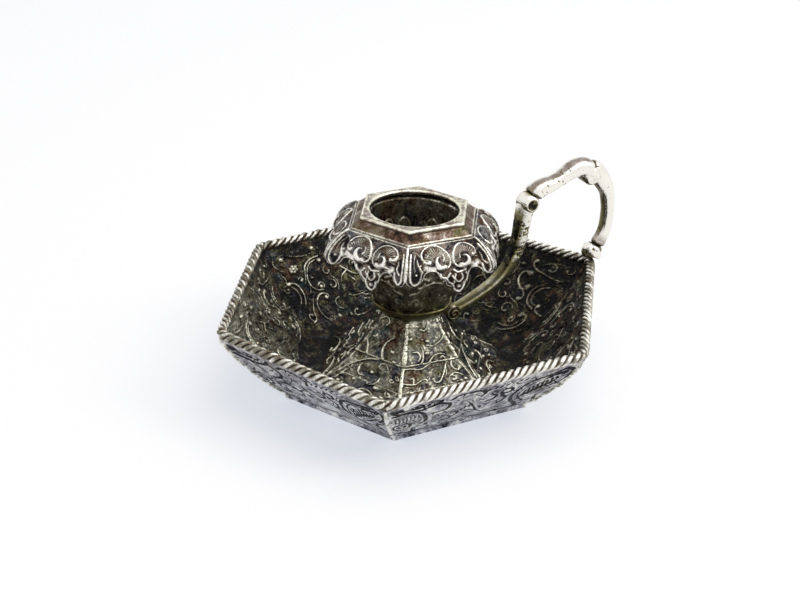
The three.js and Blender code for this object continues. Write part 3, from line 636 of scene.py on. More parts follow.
def nozzle_ornament():
    """A side of the nozzle's skirt, 22 mm across: two ribbed shells, corner lobes and a hanging drop."""
    o = Ornament(22, 17, wear=0.92)
    for u in (0, 22):
        o.stroke([(u, 16.6), (u, 12), (u, 7)], 0.46, 0.5, bare=1.05)
    # Left corner lobe
    o.dome(2, 9, 1.9, 4.2, 0.3)
    o.stroke([(1, 14), (0.9, 11.4), (0.9, 9), (1.2, 7), (2.1, 6), (3.1, 6.5), (3.7, 7.8), (3.9, 9)], 0.42,
             0.5)
    o.stroke([(2.3, 13.8), (1.9, 12), (2.1, 10), (2.5, 8.4)], 0.26, 0.4, "e", bare=0.8)
    o.bead(2.5, 8.6, 0.45)
    o.stroke([(2.7, 12.8), (3, 11.2), (3.7, 9.8), (4.4, 8.9)], 0.34, 0.5, "s")
    o.bead(3.8, 10.8, 0.45, 0.4, 0.8)
    o.bead(3.5, 9.4, 0.4, 0.4, 0.8)
    o.stroke([(1.4, 14.6), (2.8, 14.2), (3.6, 13.2)], 0.24, 0.3, bare=0.7)
    # The larger shell: a ribbed dome with a bright rim and a fat curl
    o.dome(7.9, 12.1, 3.9, 3.6, 0.9)
    o.fan(8.3, 11, 1.3, 4.3, -15, 200, 21, 0.16, 0.54)
    o.stroke([(6.1, 10.9), (5, 11.2), (4.2, 12.3), (4.1, 13.7), (4.9, 14.9), (6.5, 15.5), (8.3, 15.3),
              (10, 14.4), (11.2, 12.8), (11.6, 11), (11.1, 9.6), (9.9, 8.9), (8.6, 9.2)], 0.3, 0.34, bare=1.1)
    o.stroke([(9.9, 9.3), (8.9, 9.2), (8, 9.9), (7.7, 11), (8.1, 11.9), (8.9, 12)], 0.78, 0.7, "e", bare=1.3)
    o.stroke([(8.7, 13), (9.6, 12.6), (9.9, 11.6), (9.5, 10.9)], 0.3, 0.3, "s", bare=0.8)
    o.bead(5.9, 11.1, 0.66, 0.5)
    o.stroke([(5.2, 12.4), (6.1, 13.2), (7.4, 13.4)], 0.24, 0.26, "e", bare=0.7)
    # The smaller shell, turned the other way
    o.dome(15.7, 12, 3.5, 3.3, 0.9)
    o.fan(15.5, 11.2, 1.2, 3.9, -10, 205, 19, 0.16, 0.54)
    o.stroke([(17.6, 11.4), (18.7, 11.9), (19.2, 13.1), (18.7, 14.3), (17.3, 15), (15.5, 14.9), (13.9, 14),
              (12.8, 12.6), (12.4, 11), (12.8, 9.6), (13.9, 8.9), (15, 9)], 0.3, 0.34, bare=1.1)
    o.stroke([(13.9, 9.3), (15, 9.1), (15.9, 9.7), (16.2, 10.7), (15.8, 11.5), (15, 11.6)], 0.78, 0.7, "e",
             bare=1.3)
    o.stroke([(15.2, 12.7), (14.3, 12.2), (14.1, 11.2)], 0.28, 0.3, "s", bare=0.8)
    o.bead(17.7, 11.6, 0.62, 0.5)
    # Right corner lobe
    o.dome(20.2, 9, 1.7, 4, 0.3)
    o.stroke([(21, 14), (21.2, 11.6), (21.2, 9), (21, 7), (20.3, 6.1), (19.5, 7), (19.2, 8.8)], 0.42, 0.5)
    o.stroke([(19.6, 12.6), (19.9, 11), (19.7, 9.8), (20.3, 8.8)], 0.3, 0.45, "s")
    o.bead(20.4, 8.7, 0.42, 0.45)
    # The plain bright plates between the shells and the arches
    o.stroke([(5.1, 9.9), (6.2, 9.4), (7.2, 9.2)], 0.95, 0.14, bare=1.1)
    o.stroke([(16.6, 9.2), (17.6, 9), (18.4, 9.5)], 0.95, 0.14, bare=1.1)
    # Leaf outlines and the round drop below the shells
    o.dome(12.9, 5.4, 2.8, 4.4, 0.3)
    o.stroke([(8.6, 7.8), (9.1, 6.8), (10.2, 6.6), (11, 7.6)], 0.34, 0.45, bare=1.1)
    o.stroke([(10.8, 7.3), (10.2, 6.4), (10.8, 5.1), (11.7, 4.7), (12, 5.7), (11.5, 6.9)], 0.3, 0.42,
             bare=1.1)
    o.stroke([(12.3, 7.2), (12.1, 6.1), (13, 5), (14, 6), (13.8, 7.2)], 0.3, 0.42, bare=1.1)
    o.stroke([(14.9, 7.3), (15.3, 6.3), (14.9, 5.1), (14.2, 4.7)], 0.3, 0.42, bare=1.1)
    o.stroke([(12, 8.4), (12.9, 7.7), (13.9, 7.8), (14.9, 8)], 0.34, 0.45, bare=1.1)
    o.stroke([(11.6, 4.2), (12.1, 2.9), (13.1, 2.3), (14, 2.9), (14.4, 4.2)], 0.42, 0.5, bare=1.25)
    o.bead(13.1, 3.7, 0.62, 0.5, 1)
    # Thin border along the cut edge
    at, edge = np.array(SKIRT_EDGE).T
    o.stroke(np.stack([at, edge + 0.28], 1), 0.26, 0.3, bare=0.8)
    o.scatter(70, 5, 0.5, 0.1, 0.35)
    return o.finished()


# Meshes

def unit(v):
    """Vectors of length 1."""
    return v / np.maximum(np.linalg.norm(v, axis=-1, keepdims=True), 1e-9)


def face_normals(grid, wrap=False):
    """Unit normals of a grid of points, from the steps along its rows and columns."""
    along = np.gradient(grid, axis=0)
    if wrap:
        along = (np.roll(grid, -1, 0) - np.roll(grid, 1, 0)) / 2
    return unit(np.cross(along, np.gradient(grid, axis=1)))


def sections(path, across, upward, x, y):
    """Sections round a path: at each of its points, x goes along one direction and y along the other."""
    return path[:, None] + across[..., None, :] * x[..., None] + upward[..., None, :] * y[..., None]


def build_mesh(name, grid, levels, ends="joined"):
    """A mesh of quads over a grid of points in mm: rows, columns, xyz. The last column joins the first.

    ends says how the first and last rows close: "joined" to each other, by a "fan" to a middle point each, or
    by a "ladder" between a row's two halves. levels gives each point's "relief", 0 for the sunk dark ground
    to 1 for the bare raised metal, and on some pieces painted light and shade too. Faces are turned outwards
    by the sign of the volume that they enclose.
    """
    rows, columns = grid.shape[:2]
    index = np.arange(rows * columns).reshape(rows, columns)
    points, relief = grid.reshape(-1, 3), levels.reshape(-1)
    i, j = np.meshgrid(np.arange(rows if ends == "joined" else rows - 1), np.arange(columns), indexing="ij")
    i2, j2 = (i + 1) % rows, (j + 1) % columns
    quads = np.stack([index[i, j], index[i2, j], index[i2, j2], index[i, j2]], -1).reshape(-1, 4)
    triangles = np.zeros((0, 3), int)
    half = np.arange(columns // 2 - 1)
    for row, flip in ((index[0], 1), (index[-1], -1)):
        if ends == "fan":
            points = np.vstack([points, points[row].mean(0)])
            relief = np.append(relief, relief[row].mean())
            fan = np.stack([np.full(columns, len(points) - 1), row, np.roll(row, -1)], -1)
            triangles = np.vstack([triangles, fan[:, ::flip]])
        if ends == "ladder":
            rungs = np.stack([row[half], row[half + 1], row[columns - 2 - half], row[columns - 1 - half]], -1)
            quads = np.vstack([quads, rungs[:, ::flip]])
    a, b, c, d = (points[quads[:, n]] for n in range(4))
    volume = np.einsum("ij,ij->", a, np.cross(b, c)) + np.einsum("ij,ij->", a, np.cross(c, d))
    if volume < 0:
        quads, triangles = quads[:, ::-1], triangles[:, ::-1]
    corners = np.concatenate([quads.reshape(-1), triangles.reshape(-1)])
    totals = np.concatenate([np.full(len(quads), 4), np.full(len(triangles), 3)])
    mesh = bpy.data.meshes.new(name)
    mesh.vertices.add(len(points))
    mesh.vertices.foreach_set("co", (points * MM).astype(np.float32).reshape(-1))
    mesh.loops.add(len(corners))
    mesh.loops.foreach_set("vertex_index", corners.astype(np.int32))
    mesh.polygons.add(len(totals))
    mesh.polygons.foreach_set("loop_start", (np.cumsum(totals) - totals).astype(np.int32))
    mesh.polygons.foreach_set("use_smooth", np.ones(len(totals), bool))
    mesh.update(calc_edges=True)
    mesh.validate()
    mesh.attributes.new("relief", "FLOAT", "POINT").data.foreach_set("value", relief.astype(np.float32))
    piece = bpy.data.objects.new(name, mesh)
    bpy.context.scene.collection.objects.link(piece)
    return piece


def place(piece, body, finish, nodes=()):
    """Hands a piece to its body and its finish, in place of the CAD nodes that it stands for."""
    piece.data.materials.append(finish)
    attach(piece, body)
    if nodes:
        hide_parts(*nodes)


def second_finish(piece, finish, columns, count):
    """Gives the first "count" columns of a piece's faces another finish.

    The faces lie in the grid's order, row by row, and the few that close a ladder come last.
    """
    index = np.zeros(len(piece.data.polygons), np.int32)
    rows = len(index) // columns
    index[: rows * columns] = np.tile(np.arange(columns) < count, rows)
    piece.data.materials.append(finish)
    piece.data.polygons.foreach_set("material_index", index)


# Shader maths

class Value:
    """A number that varies over a surface: a node's output socket with arithmetic."""

    def __init__(self, shop, socket):
        self.shop = shop
        self.socket = socket

    def maths(self, operation, *values):
        return self.shop.node("ShaderNodeMath", {"operation": operation}, dict(enumerate(values)))

    def __add__(self, other):
        return self.maths("ADD", self, other)

    def __radd__(self, other):
        return self.maths("ADD", other, self)

    def __sub__(self, other):
        return self.maths("SUBTRACT", self, other)

    def __rsub__(self, other):
        return self.maths("SUBTRACT", other, self)

    def __mul__(self, other):
        return self.maths("MULTIPLY", self, other)

    def between(self, low, high):
        """0 below low, 1 above high, and a smooth step between."""
        settings = {"interpolation_type": "SMOOTHSTEP"}
        inputs = {"Value": self, "From Min": low, "From Max": high}
        return self.shop.node("ShaderNodeMapRange", settings, inputs)


class Finish:
    """A material and the nodes that make it."""

    def __init__(self, name):
        self.material = bpy.data.materials.new(name)
        self.material.use_nodes = True
        self.tree = self.material.node_tree
        self.shader = self.tree.nodes["Principled BSDF"]
        self.place = self.node("ShaderNodeTexCoord", {}, {}, "Object")

    def link(self, socket, value):
        """Links a socket to a varying value, or sets it to a plain one."""
        if isinstance(value, Value):
            self.tree.links.new(value.socket, socket)
        else:
            socket.default_value = value

    def node(self, kind, settings, inputs, output=0):
        """Adds a node with its settings and its inputs' numbers or links, and gives one of its outputs."""
        made = self.tree.nodes.new(kind)
        for key, value in settings.items():
            setattr(made, key, value)
        for key, value in inputs.items():
            self.link(made.inputs[key], value)
        return Value(self, made.outputs[output])

    def noise(self, size, detail, seed):
        """Noise from 0 to 1 whose patches are about "size" mm across."""
        scale = 1 / (size * MM)
        inputs = {"Vector": self.place, "W": seed, "Scale": scale, "Detail": detail, "Roughness": 0.55}
        return self.node("ShaderNodeTexNoise", {"noise_dimensions": "4D"}, inputs, "Fac")

    def mix(self, first, second, share):
        """A colour between two, by share."""
        settings = {"data_type": "RGBA", "clamp_factor": True}
        return self.node("ShaderNodeMix", settings, {0: share, 6: first, 7: second}, 2)

    def bump(self, height, distance_mm):
        inputs = {"Height": height, "Distance": distance_mm * MM, "Strength": 1.0}
        return self.node("ShaderNodeBump", {}, inputs, "Normal")

    def set(self, **inputs):
        """Sets or links sockets of the shader. An underscore in a name stands for a space."""
        for key, value in inputs.items():
            self.link(self.shader.inputs[key.replace("_", " ")], value)


def tarnished(name, bright, dull, tints, seed, roughness=0.3, grain=0.05, mottle=1.0):
    """Tarnished silver: nearly black, then stained, then dull, then bright as its "relief" goes from 0 to 1.

    bright, dull and tints name colours of the settings. The tints are the stains, each in patches of its own.
    grain is the depth of the bumps in mm, and mottle is how uneven the wear is.
    """
    colours = bpy.context.scene.candlestick_finishes
    bright, dull, dark, *tints = ((*getattr(colours, key), 1) for key in (bright, dull, "dark", *tints))
    f = Finish(name)
    broad = f.noise(8, 2, seed).between(0.32, 0.68)
    patches = f.noise(1.7, 3, seed + 3).between(0.32, 0.68)
    fine = f.noise(0.5, 3, seed + 7).between(0.3, 0.7)
    uneven = (broad - 0.5) * 0.16 + (patches - 0.5) * 0.24 + (fine - 0.5) * 0.26
    relief = f.node("ShaderNodeAttribute", {"attribute_name": "relief"}, {}, "Fac")
    worn = relief + uneven * mottle
    stain = tints[0]
    for n, tint in enumerate(tints[1:]):
        stain = f.mix(stain, tint, f.noise(6 - 0.8 * n, 3, seed + 11 + 6 * n).between(0.46, 0.64))
    low = f.mix(dark, stain, worn.between(0.02, 0.3))
    high = f.mix(dull, bright, worn.between(0.5, 0.95))
    f.set(Base_Color=f.mix(low, high, worn.between(0.22, 0.62)))
    f.set(Metallic=0.55 + worn.between(0.1, 0.7) * 0.45)
    f.set(Roughness=roughness + 0.22 - worn.between(0.1, 0.9) * 0.2 + (patches - 0.5) * 0.14)
    f.set(Specular_IOR_Level=0.15)
    f.set(Normal=f.bump(fine + patches * 0.8, grain))
    return f.material


# Settings

def colour(name, description, default):
    """A colour among the settings."""
    return FloatVectorProperty(name=name, description=description, subtype="COLOR", size=3, min=0, max=1,
                               default=default)


class CandlestickFinishes(bpy.types.PropertyGroup):
    """Colours of the silver."""

    bright: colour("Bare silver", "Colour of the metal where it is worn bare", (0.82, 0.8, 0.65))
    pale: colour("Pale silver", "Colour of the polished handle and rim", (0.86, 0.84, 0.78))
    dull: colour("Dull silver", "Colour of the half worn metal", (0.21, 0.2, 0.155))
    dark: colour("Tarnish", "Colour of the blackened metal in crevices", (0.008, 0.008, 0.009))
    green: colour("Green stain", "Colour of the blue-green stains", (0.018, 0.04, 0.038))
    brown: colour("Brown stain", "Colour of the reddish brown stains", (0.09, 0.046, 0.024))
    olive: colour("Olive stain", "Colour of the olive stains", (0.13, 0.115, 0.048))
    navy: colour("Navy stain", "Colour of the blue-black stains", (0.018, 0.02, 0.03))
    slate: colour("Slate stain", "Colour of the blue-grey stains", (0.075, 0.08, 0.105))
    lilac: colour("Lilac sheen", "Colour of the smooth tarnish outside", (0.3, 0.29, 0.33))
    rose: colour("Rose sheen", "Colour of the thin tarnish round the nozzle's top", (0.24, 0.19, 0.165))
    straw: colour("Straw sheen", "Colour of the yellow tarnish on the handle's strap", (0.3, 0.27, 0.13))


class CandlestickDish(bpy.types.PropertyGroup):
    """Sizes of the dish."""

    rope_r: FloatProperty(name="Rope radius", description="Outer radius of the twisted rim rope in mm",
                          default=1.3, min=1, max=2.2)
    relief: FloatProperty(name="Relief", description="Share of the drawn height of the ornament on the dish",
                          default=1.2, min=0, max=2)
    dents: FloatProperty(name="Dents", description="Height in mm of the unevenness of the hand-raised sheet",
                         default=0.14, min=0, max=0.5)


class CandlestickStem(bpy.types.PropertyGroup):
    """Sizes of the stem and the nozzle."""

    relief: FloatProperty(name="Relief", description="Share of the drawn height of the ornament on the stem",
                          default=1.25, min=0, max=2)
    shells: FloatProperty(name="Shells", description="Share of the drawn height of the nozzle's ornament",
                          default=0.8, min=0, max=2)


class CandlestickStage(bpy.types.PropertyGroup):
    """Camera and light."""

    lens: FloatProperty(name="Lens", description="Focal length on a 36 mm wide sensor", unit="CAMERA",
                        default=73.04)
    top: FloatProperty(name="Top light", description="Power of the wide lamp overhead in watts", default=3.6)
    key: FloatProperty(name="Key light", description="Power of the lamp on the right in watts", default=1.6)
    world: FloatProperty(name="World light", description="Strength of the light from all round", default=0.58)


# Dish

def dish_corner(k, reaches, turns, z):
    """A corner of a ring of the dish: reach and turn off a true hexagon are each corner's own."""
    angle = k * HEX + math.radians(turns[k % SIDES])
    reach = reaches[k % SIDES]
    return np.array([reach * math.cos(angle), reach * math.sin(angle), z])


def wall_corner(k, t, depth):
    """Points up the dish's corner k at shares t of the wall's height, "depth" mm inside the outer face.

    The corner runs straight from the floor to the rim and swells outwards by a parabola. Below 0 it drops
    straight down past the floor's edge.
    """
    foot = dish_corner(k, FLOOR_REACH, FLOOR_TURN, FLOOR_T)
    top = dish_corner(k, RIM_REACH, RIM_TURN, WALL_TOP_Z)
    out = (top - foot) * LEVEL
    rise = WALL_TOP_Z - FLOOR_T
    slope = math.hypot(np.linalg.norm(out) * APOTHEM, rise)
    t = np.asarray(t, float)[:, None]
    up = np.maximum(t, 0)
    away = WALL_BULGE * 4 * up * (1 - up) * rise / slope / APOTHEM - depth * slope / rise / APOTHEM
    return foot + (top - foot) * up + unit(out) * away + (t - up) * rise * UP


def wall_face(k, u, t, depth):
    """A panel's face: straight lines between its two corners at each height."""
    a, b = wall_corner(k, t, depth), wall_corner(k + 1, t, depth)
    return a[None] + (b - a)[None] * u[:, None, None]


def dish_wall(k, inside, outside, settings, inside_finish, outside_finish):
    """One panel: an outer face with sunk lines and an inner face with raised scrolls, joined at its edges."""
    t = np.linspace(-0.062, 1.045, 118)
    u = np.linspace(0.004, 0.996, 280)
    places_u, places_t = np.meshgrid(u, t, indexing="ij")
    outer = wall_face(k, u, t, 0)
    inner = wall_face(k, u, t, WALL_T)
    # The drawings wander a little, differently on each panel, and stop short of its edges
    drift = waves(inner, 13, 40 + k) * 0.3
    climb = waves(inner, 11, 50 + k) * 0.25
    plain = smooth(places_t, 1.0, 0.95)
    raised, worn_in = inside.at(places_u * inside.width + drift, places_t * inside.top + climb)
    sunk, worn_out = outside.at(places_u * outside.width + drift, places_t * outside.top)
    free = smooth(np.minimum(places_u, 1 - places_u), 0, 0.06) * smooth(places_t, 0, 0.08) * plain
    dents = waves(outer, 7, 60 + k) * settings.dents * free
    outward = face_normals(outer)
    above = smooth(places_t, 0.02, 0.12)
    outer = outer + outward * (sunk * settings.relief * SUNK_SHARE * plain * above + dents)[..., None]
    grained = waves(inner, 1.1, 70 + k) * 0.05 + waves(inner, 0.6, 75 + k) * 0.03
    inner = inner - outward * (raised * settings.relief * RAISED_SHARE * plain - dents + grained)[..., None]
    grid = np.concatenate([outer, inner[:, ::-1]], axis=1)
    ground_out = 0.56 + waves(outer, 5, 80 + k) * 0.2 + waves(outer, 1.6, 85 + k) * 0.12
    level_out = bareness(ground_out, worn_out * plain)
    first, second = WALL_GROUND[k]
    ground_in = first + (second - first) * places_u
    ground_in = ground_in + waves(inner, 9, 90 + k) * 0.07 + waves(inner, 2, 95 + k) * 0.04
    level_in = bareness(ground_in, worn_in * plain * WALL_LINES[k])
    levels = np.concatenate([level_out, level_in[:, ::-1]], axis=1)
    piece = build_mesh(f"dish_wall_{k + 1}", grid, levels, "ladder")
    place(piece, "candlestick", inside_finish, [f"wall_panel_{k + 1}"])
    second_finish(piece, outside_finish, grid.shape[1], len(t) - 1)


def corner_seam(k, finish):
    """A lumpy bead of solder down a corner: an uneven oval section, bright outside and dark inside."""
    t = np.linspace(-0.06, 1.03, 120)
    path = wall_corner(k, t, 0.5)
    along = unit(np.gradient(path, axis=0))
    side = unit(np.cross(along, (path[-1] - path[0]) * LEVEL))
    face = np.cross(side, along)
    angle = np.linspace(0, 2 * math.pi, 18, endpoint=False)
    lumps = 1 + 0.16 * waves(path, 2.6, 100 + k)[:, None]
    reach = np.where(np.cos(angle) > 0, SEAM_OUT, SEAM_IN) * lumps
    grid = sections(path, face, side, reach * np.cos(angle), SEAM_SIDE * lumps * np.sin(angle))
    grid[..., 2] = np.maximum(grid[..., 2], 0.04)
    levels = 0.42 + 0.5 * np.cos(angle) + 0.22 * waves(grid, 1.5, 110 + k)
    piece = build_mesh(f"corner_seam_{k + 1}", grid, np.clip(levels, 0, 1), "fan")
    place(piece, "candlestick", finish)


def dish_floor(finish):
    """The dish's floor: six-sided rings from its middle to its edge, where it curves up to the walls."""
    corners = [dish_corner(k, FLOOR_REACH, FLOOR_TURN, 0) for k in range(SIDES + 1)]
    share = np.linspace(0, 1, 60, endpoint=False)[:, None]
    edge = np.concatenate([a + (b - a) * share for a, b in zip(corners, corners[1:])])
    # Distance in from the edge, and height: over the top, round the edge and back below
    inset = np.concatenate([np.linspace(34, 14, 6), np.linspace(13.6, 0.6, 56)])
    fillet = FILLET_H * np.clip((FILLET_W - inset) / 2.4, 0, 1.25) ** 2
    profile = np.vstack([np.stack([inset, FLOOR_T + fillet], 1), [[0.4, 0.9], [0.4, 0.25], [0.7, 0]],
                         np.stack([np.linspace(3, 34, 8), np.zeros(8)], 1)])
    shrink = 1 - profile[:, 0] / np.mean(FLOOR_REACH)
    grid = edge * shrink[:, None, None] + UP * profile[:, 1, None, None]
    top = smooth(-np.arange(len(profile)), -len(inset) + 1, -len(inset) + 5)[:, None]
    grid[..., 2] += (waves(grid, 6, 30) * 0.1 + waves(grid, 1.2, 31) * 0.05) * top
    levels = 0.13 + waves(grid, 5, 32) * 0.08 + waves(grid, 1.4, 33) * 0.08
    piece = build_mesh("dish_floor", grid, np.clip(levels, 0, 1), "fan")
    place(piece, "candlestick", finish, ["base_plate"])


def rope_profile(angle):
    """Radius of a rope at angles round it, as a share of its outer radius: a flattened cosine per strand."""
    return 0.5 + 0.5 * np.abs(np.cos(angle * WIRE_STRANDS / 2)) ** 0.7


def rim_rope(k, settings, finish):
    """A length of the rim's rope: strands round a straight run with half a rounded corner at each end."""
    ring = [dish_corner(n, RIM_REACH, RIM_TURN, RIM_Z) for n in range(-1, k + 3)]

    def half_corner(before, corner, after):
        a = corner + unit(before - corner) * WIRE_TURN_IN
        b = corner + unit(after - corner) * WIRE_TURN_IN
        s = np.linspace(0.5, 1, 6)[:, None]
        return (1 - s) ** 2 * a + 2 * s * (1 - s) * corner + s**2 * b

    before, first, second, after = ring[-4:]
    path = np.vstack([half_corner(before, first, second), half_corner(after, second, first)[::-1]])
    path = curve_through(path, 0.24)
    side = np.cross((0, 0, 1), unit(np.gradient(path, axis=0)))
    # The twist runs on from one length to the next
    start = sum(np.linalg.norm(b - a) for a, b in zip(ring[1:], ring[2:-2]))
    share = np.arange(len(path)) * np.linalg.norm(path[1] - path[0])
    angle = np.linspace(0, 2 * math.pi, 40, endpoint=False)
    twist = -2 * math.pi * (start + share) / WIRE_PITCH + 0.12 * waves(path, 9, 120)
    lobes = rope_profile(angle[None] - twist[:, None])
    end = np.clip(np.minimum(share, share[-1] - share) / 0.35, 0, 1)
    close = 0.75 + 0.25 * np.sqrt(end * (2 - end))
    radius = settings.rope_r * lobes * close[:, None] * (1 + 0.03 * waves(path, 4, 130 + k)[:, None])
    grid = sections(path, side, UP, radius * np.cos(angle), radius * np.sin(angle))
    # Each length's wear, and painted shade that darkens the lengths on the left
    here = WIRE_WEAR_AND_SHADE[k]
    nearby = [(here + WIRE_WEAR_AND_SHADE[(k + n) % SIDES]) / 2 for n in (-1, 1)]
    bare = np.interp(share / share[-1], (0, 0.2, 0.8, 1), (nearby[0], here, here, nearby[1]))
    levels = smooth(lobes, 0.56, 0.95) * (bare + 0.2 * waves(path, 2.4, 140 + k))[:, None]
    piece = build_mesh(f"rim_rope_{k + 1}", grid, levels, "fan")
    place(piece, "candlestick", finish, [f"rim_wire_{k + 1}"])


# Stem, saucer and socket

def ring_angles(steps_per_side):
    """Angles round the axis from the first corner, and each one's share along its straight side."""
    angle = np.arange(SIDES * steps_per_side) * HEX / steps_per_side
    # Along a straight side, equal angles aren't equal lengths
    return angle, 0.5 + np.tan(angle % HEX - HEX / 2) / (2 * math.tan(HEX / 2))


def ring_grid(angle, radii, heights, turn, roundness=0.0):
    """Six-sided rings round the axis, with a radius, height and roundness for each ring or each point.

    roundness goes from 0 for flat sides to 1 for a circle. turn is in degrees.
    """
    flat = APOTHEM / np.cos(angle % HEX - HEX / 2)[:, None]
    reach = (flat + (1 - flat) * roundness) * radii
    at = (angle + math.radians(turn))[:, None]
    return np.stack([reach * np.cos(at), reach * np.sin(at), np.broadcast_to(heights, reach.shape)], -1)


def stem_sheet(name, profile, t, ornaments, steps, relief, lift, seed, finish):
    """A six-sided sheet piece: a dense outer face with relief, and a plain inner one set in by its thickness.

    profile is radius and height from the bottom up, and t the share of the ornament's height at each of its
    points. The corners stand out as ridges, each by STEM_RIDGES, and each side's ground is as light as
    STEM_GROUND says, and barer towards the top by lift.
    """
    angle, share = ring_angles(steps)
    side = np.arange(len(angle)) // steps
    grid = ring_grid(angle, profile[:, 0], profile[:, 1], STEM_TURN)
    width, top = ornaments[0].width, ornaments[0].top
    u, v = np.meshgrid(share * width, t * top, indexing="ij")
    raised, worn = np.zeros_like(u), np.zeros_like(u)
    for kind, ornament in enumerate(ornaments):
        own = side % len(ornaments) == kind
        raised[own], worn[own] = ornament.at(u[own], v[own])
    ridge = np.array(STEM_RIDGES)[(side + (share > 0.5)) % SIDES][:, None]
    ridge = ridge * (1 + 0.4 * waves(grid, 1.3, seed + 3))
    ridge = ridge * np.clip(1 - (np.minimum(u, width - u) / STEM_RIDGE_W) ** 2, 0, 1)
    raised, worn = np.maximum(raised, STEM_RIDGE_H * ridge), np.maximum(worn, ridge)
    rough = waves(grid, 0.9, seed) * 0.05 + waves(grid, 5, seed + 1) * 0.08
    ring = np.arange(len(profile))
    edge = smooth(ring, -1, 3) * smooth(-ring, -len(ring), -len(ring) + 4)
    outer = grid + face_normals(grid, wrap=True) * ((raised * relief + rough) * edge)[..., None]
    inside = profile[::-1][:: max(len(profile) // 8, 1)] - (STEM_SHEET_T / APOTHEM, 0)
    inner = ring_grid(angle, inside[:, 0], inside[:, 1], STEM_TURN)
    ground = np.array(STEM_GROUND)[side][:, None] + waves(grid, 4, seed + 2) * 0.14
    ground = ground + waves(grid, 1.3, seed + 4) * 0.1
    ground = ground + np.array(lift)[side][:, None] * smooth(t * top, 0.45 * top, 0.9 * top)
    levels = np.concatenate([bareness(ground, worn), np.zeros(inner.shape[:2])], axis=1)
    piece = build_mesh(name + "_relief", np.concatenate([outer, inner], axis=1), levels)
    place(piece, "candlestick", finish, [name])


def stem_foot(relief, finish):
    """The stem's flared foot: two straight stretches up from the floor."""
    t = np.linspace(0, 1, 84)
    profile = np.stack([np.interp(t, (0, STEM_KNEE, 1), sizes) for sizes in zip(*STEM_FOOT)], 1)
    ornaments = [foot_ornament(0), foot_ornament(1)]
    stem_sheet("stem_foot", profile, t, ornaments, 130, relief, (0,) * SIDES, 200, finish)


def stem_pillar(relief, finish):
    """The stem's steeper pillar: sides that narrow upwards and sag inwards by a parabola."""
    t = np.linspace(0, 1, 76)
    radius = PILLAR_BOTTOM_R + (PILLAR_TOP_R - PILLAR_BOTTOM_R) * t - PILLAR_SAG * 4 * t * (1 - t)
    profile = np.stack([radius, STEP_Z + (PILLAR_TOP_Z - STEP_Z) * t], 1)
    ornaments = [pillar_ornament(0), pillar_ornament(1)]
    stem_sheet("stem_pillar", profile, t, ornaments, 90, relief, PILLAR_LIFT, 210, finish)


def socket_radius(z):
    """The socket's outer radius: a quarter of a sine wave up to its belly, then a parabola in to its lip."""
    low = np.clip((z - CUP_FLOOR_Z) / (SOCKET_BELLY_Z - CUP_FLOOR_Z), 0, 1)
    high = np.clip((z - SOCKET_BELLY_Z) / (SOCKET_TOP_Z - SOCKET_BELLY_Z), 0, 1)
    below = SOCKET_FOOT_R + (SOCKET_BELLY_R - SOCKET_FOOT_R) * np.sin(low * math.pi / 2)
    return below + (SOCKET_LIP_R - SOCKET_BELLY_R) * high**2


def saucer(finish):
    """The saucer: a sine curve out to a rounded lip, then back down beside the socket."""
    t = np.linspace(0, 1, 24)
    lip = socket_radius(SAUCER_TOP_Z) + JOINT_GAP + SAUCER_LIP_REACH
    outer = np.stack([PILLAR_TOP_R + (lip - PILLAR_TOP_R) * np.sin(t * math.pi / 2),
                      PILLAR_TOP_Z + (SAUCER_TOP_Z - PILLAR_TOP_Z) * t], 1)
    roll = np.radians(np.linspace(-10, 180, 9))
    rolled = np.stack([lip - SAUCER_LIP_R + SAUCER_LIP_R * np.cos(roll),
                       SAUCER_TOP_Z - 0.15 + SAUCER_LIP_H * np.sin(roll)], 1)
    z = np.linspace(SAUCER_TOP_Z - 0.2, CUP_FLOOR_Z, 8)
    inner = np.stack([socket_radius(z) + 0.15, z], 1)
    profile = np.vstack([outer[:-1], rolled, inner])
    grid = ring_grid(ring_angles(30)[0], profile[:, 0], profile[:, 1], STEM_TURN, CUP_ROUND)
    grid = grid + face_normals(grid, wrap=True) * (0.07 * waves(grid, 4, 220))[..., None]
    # Lighter towards +X, the side of the key lamp: painted light
    levels = 0.5 + 0.02 * grid[..., 0] + 0.25 * waves(grid, 3, 221)
    place(build_mesh("saucer_cup", grid, levels), "candlestick", finish, ["stem_saucer"])


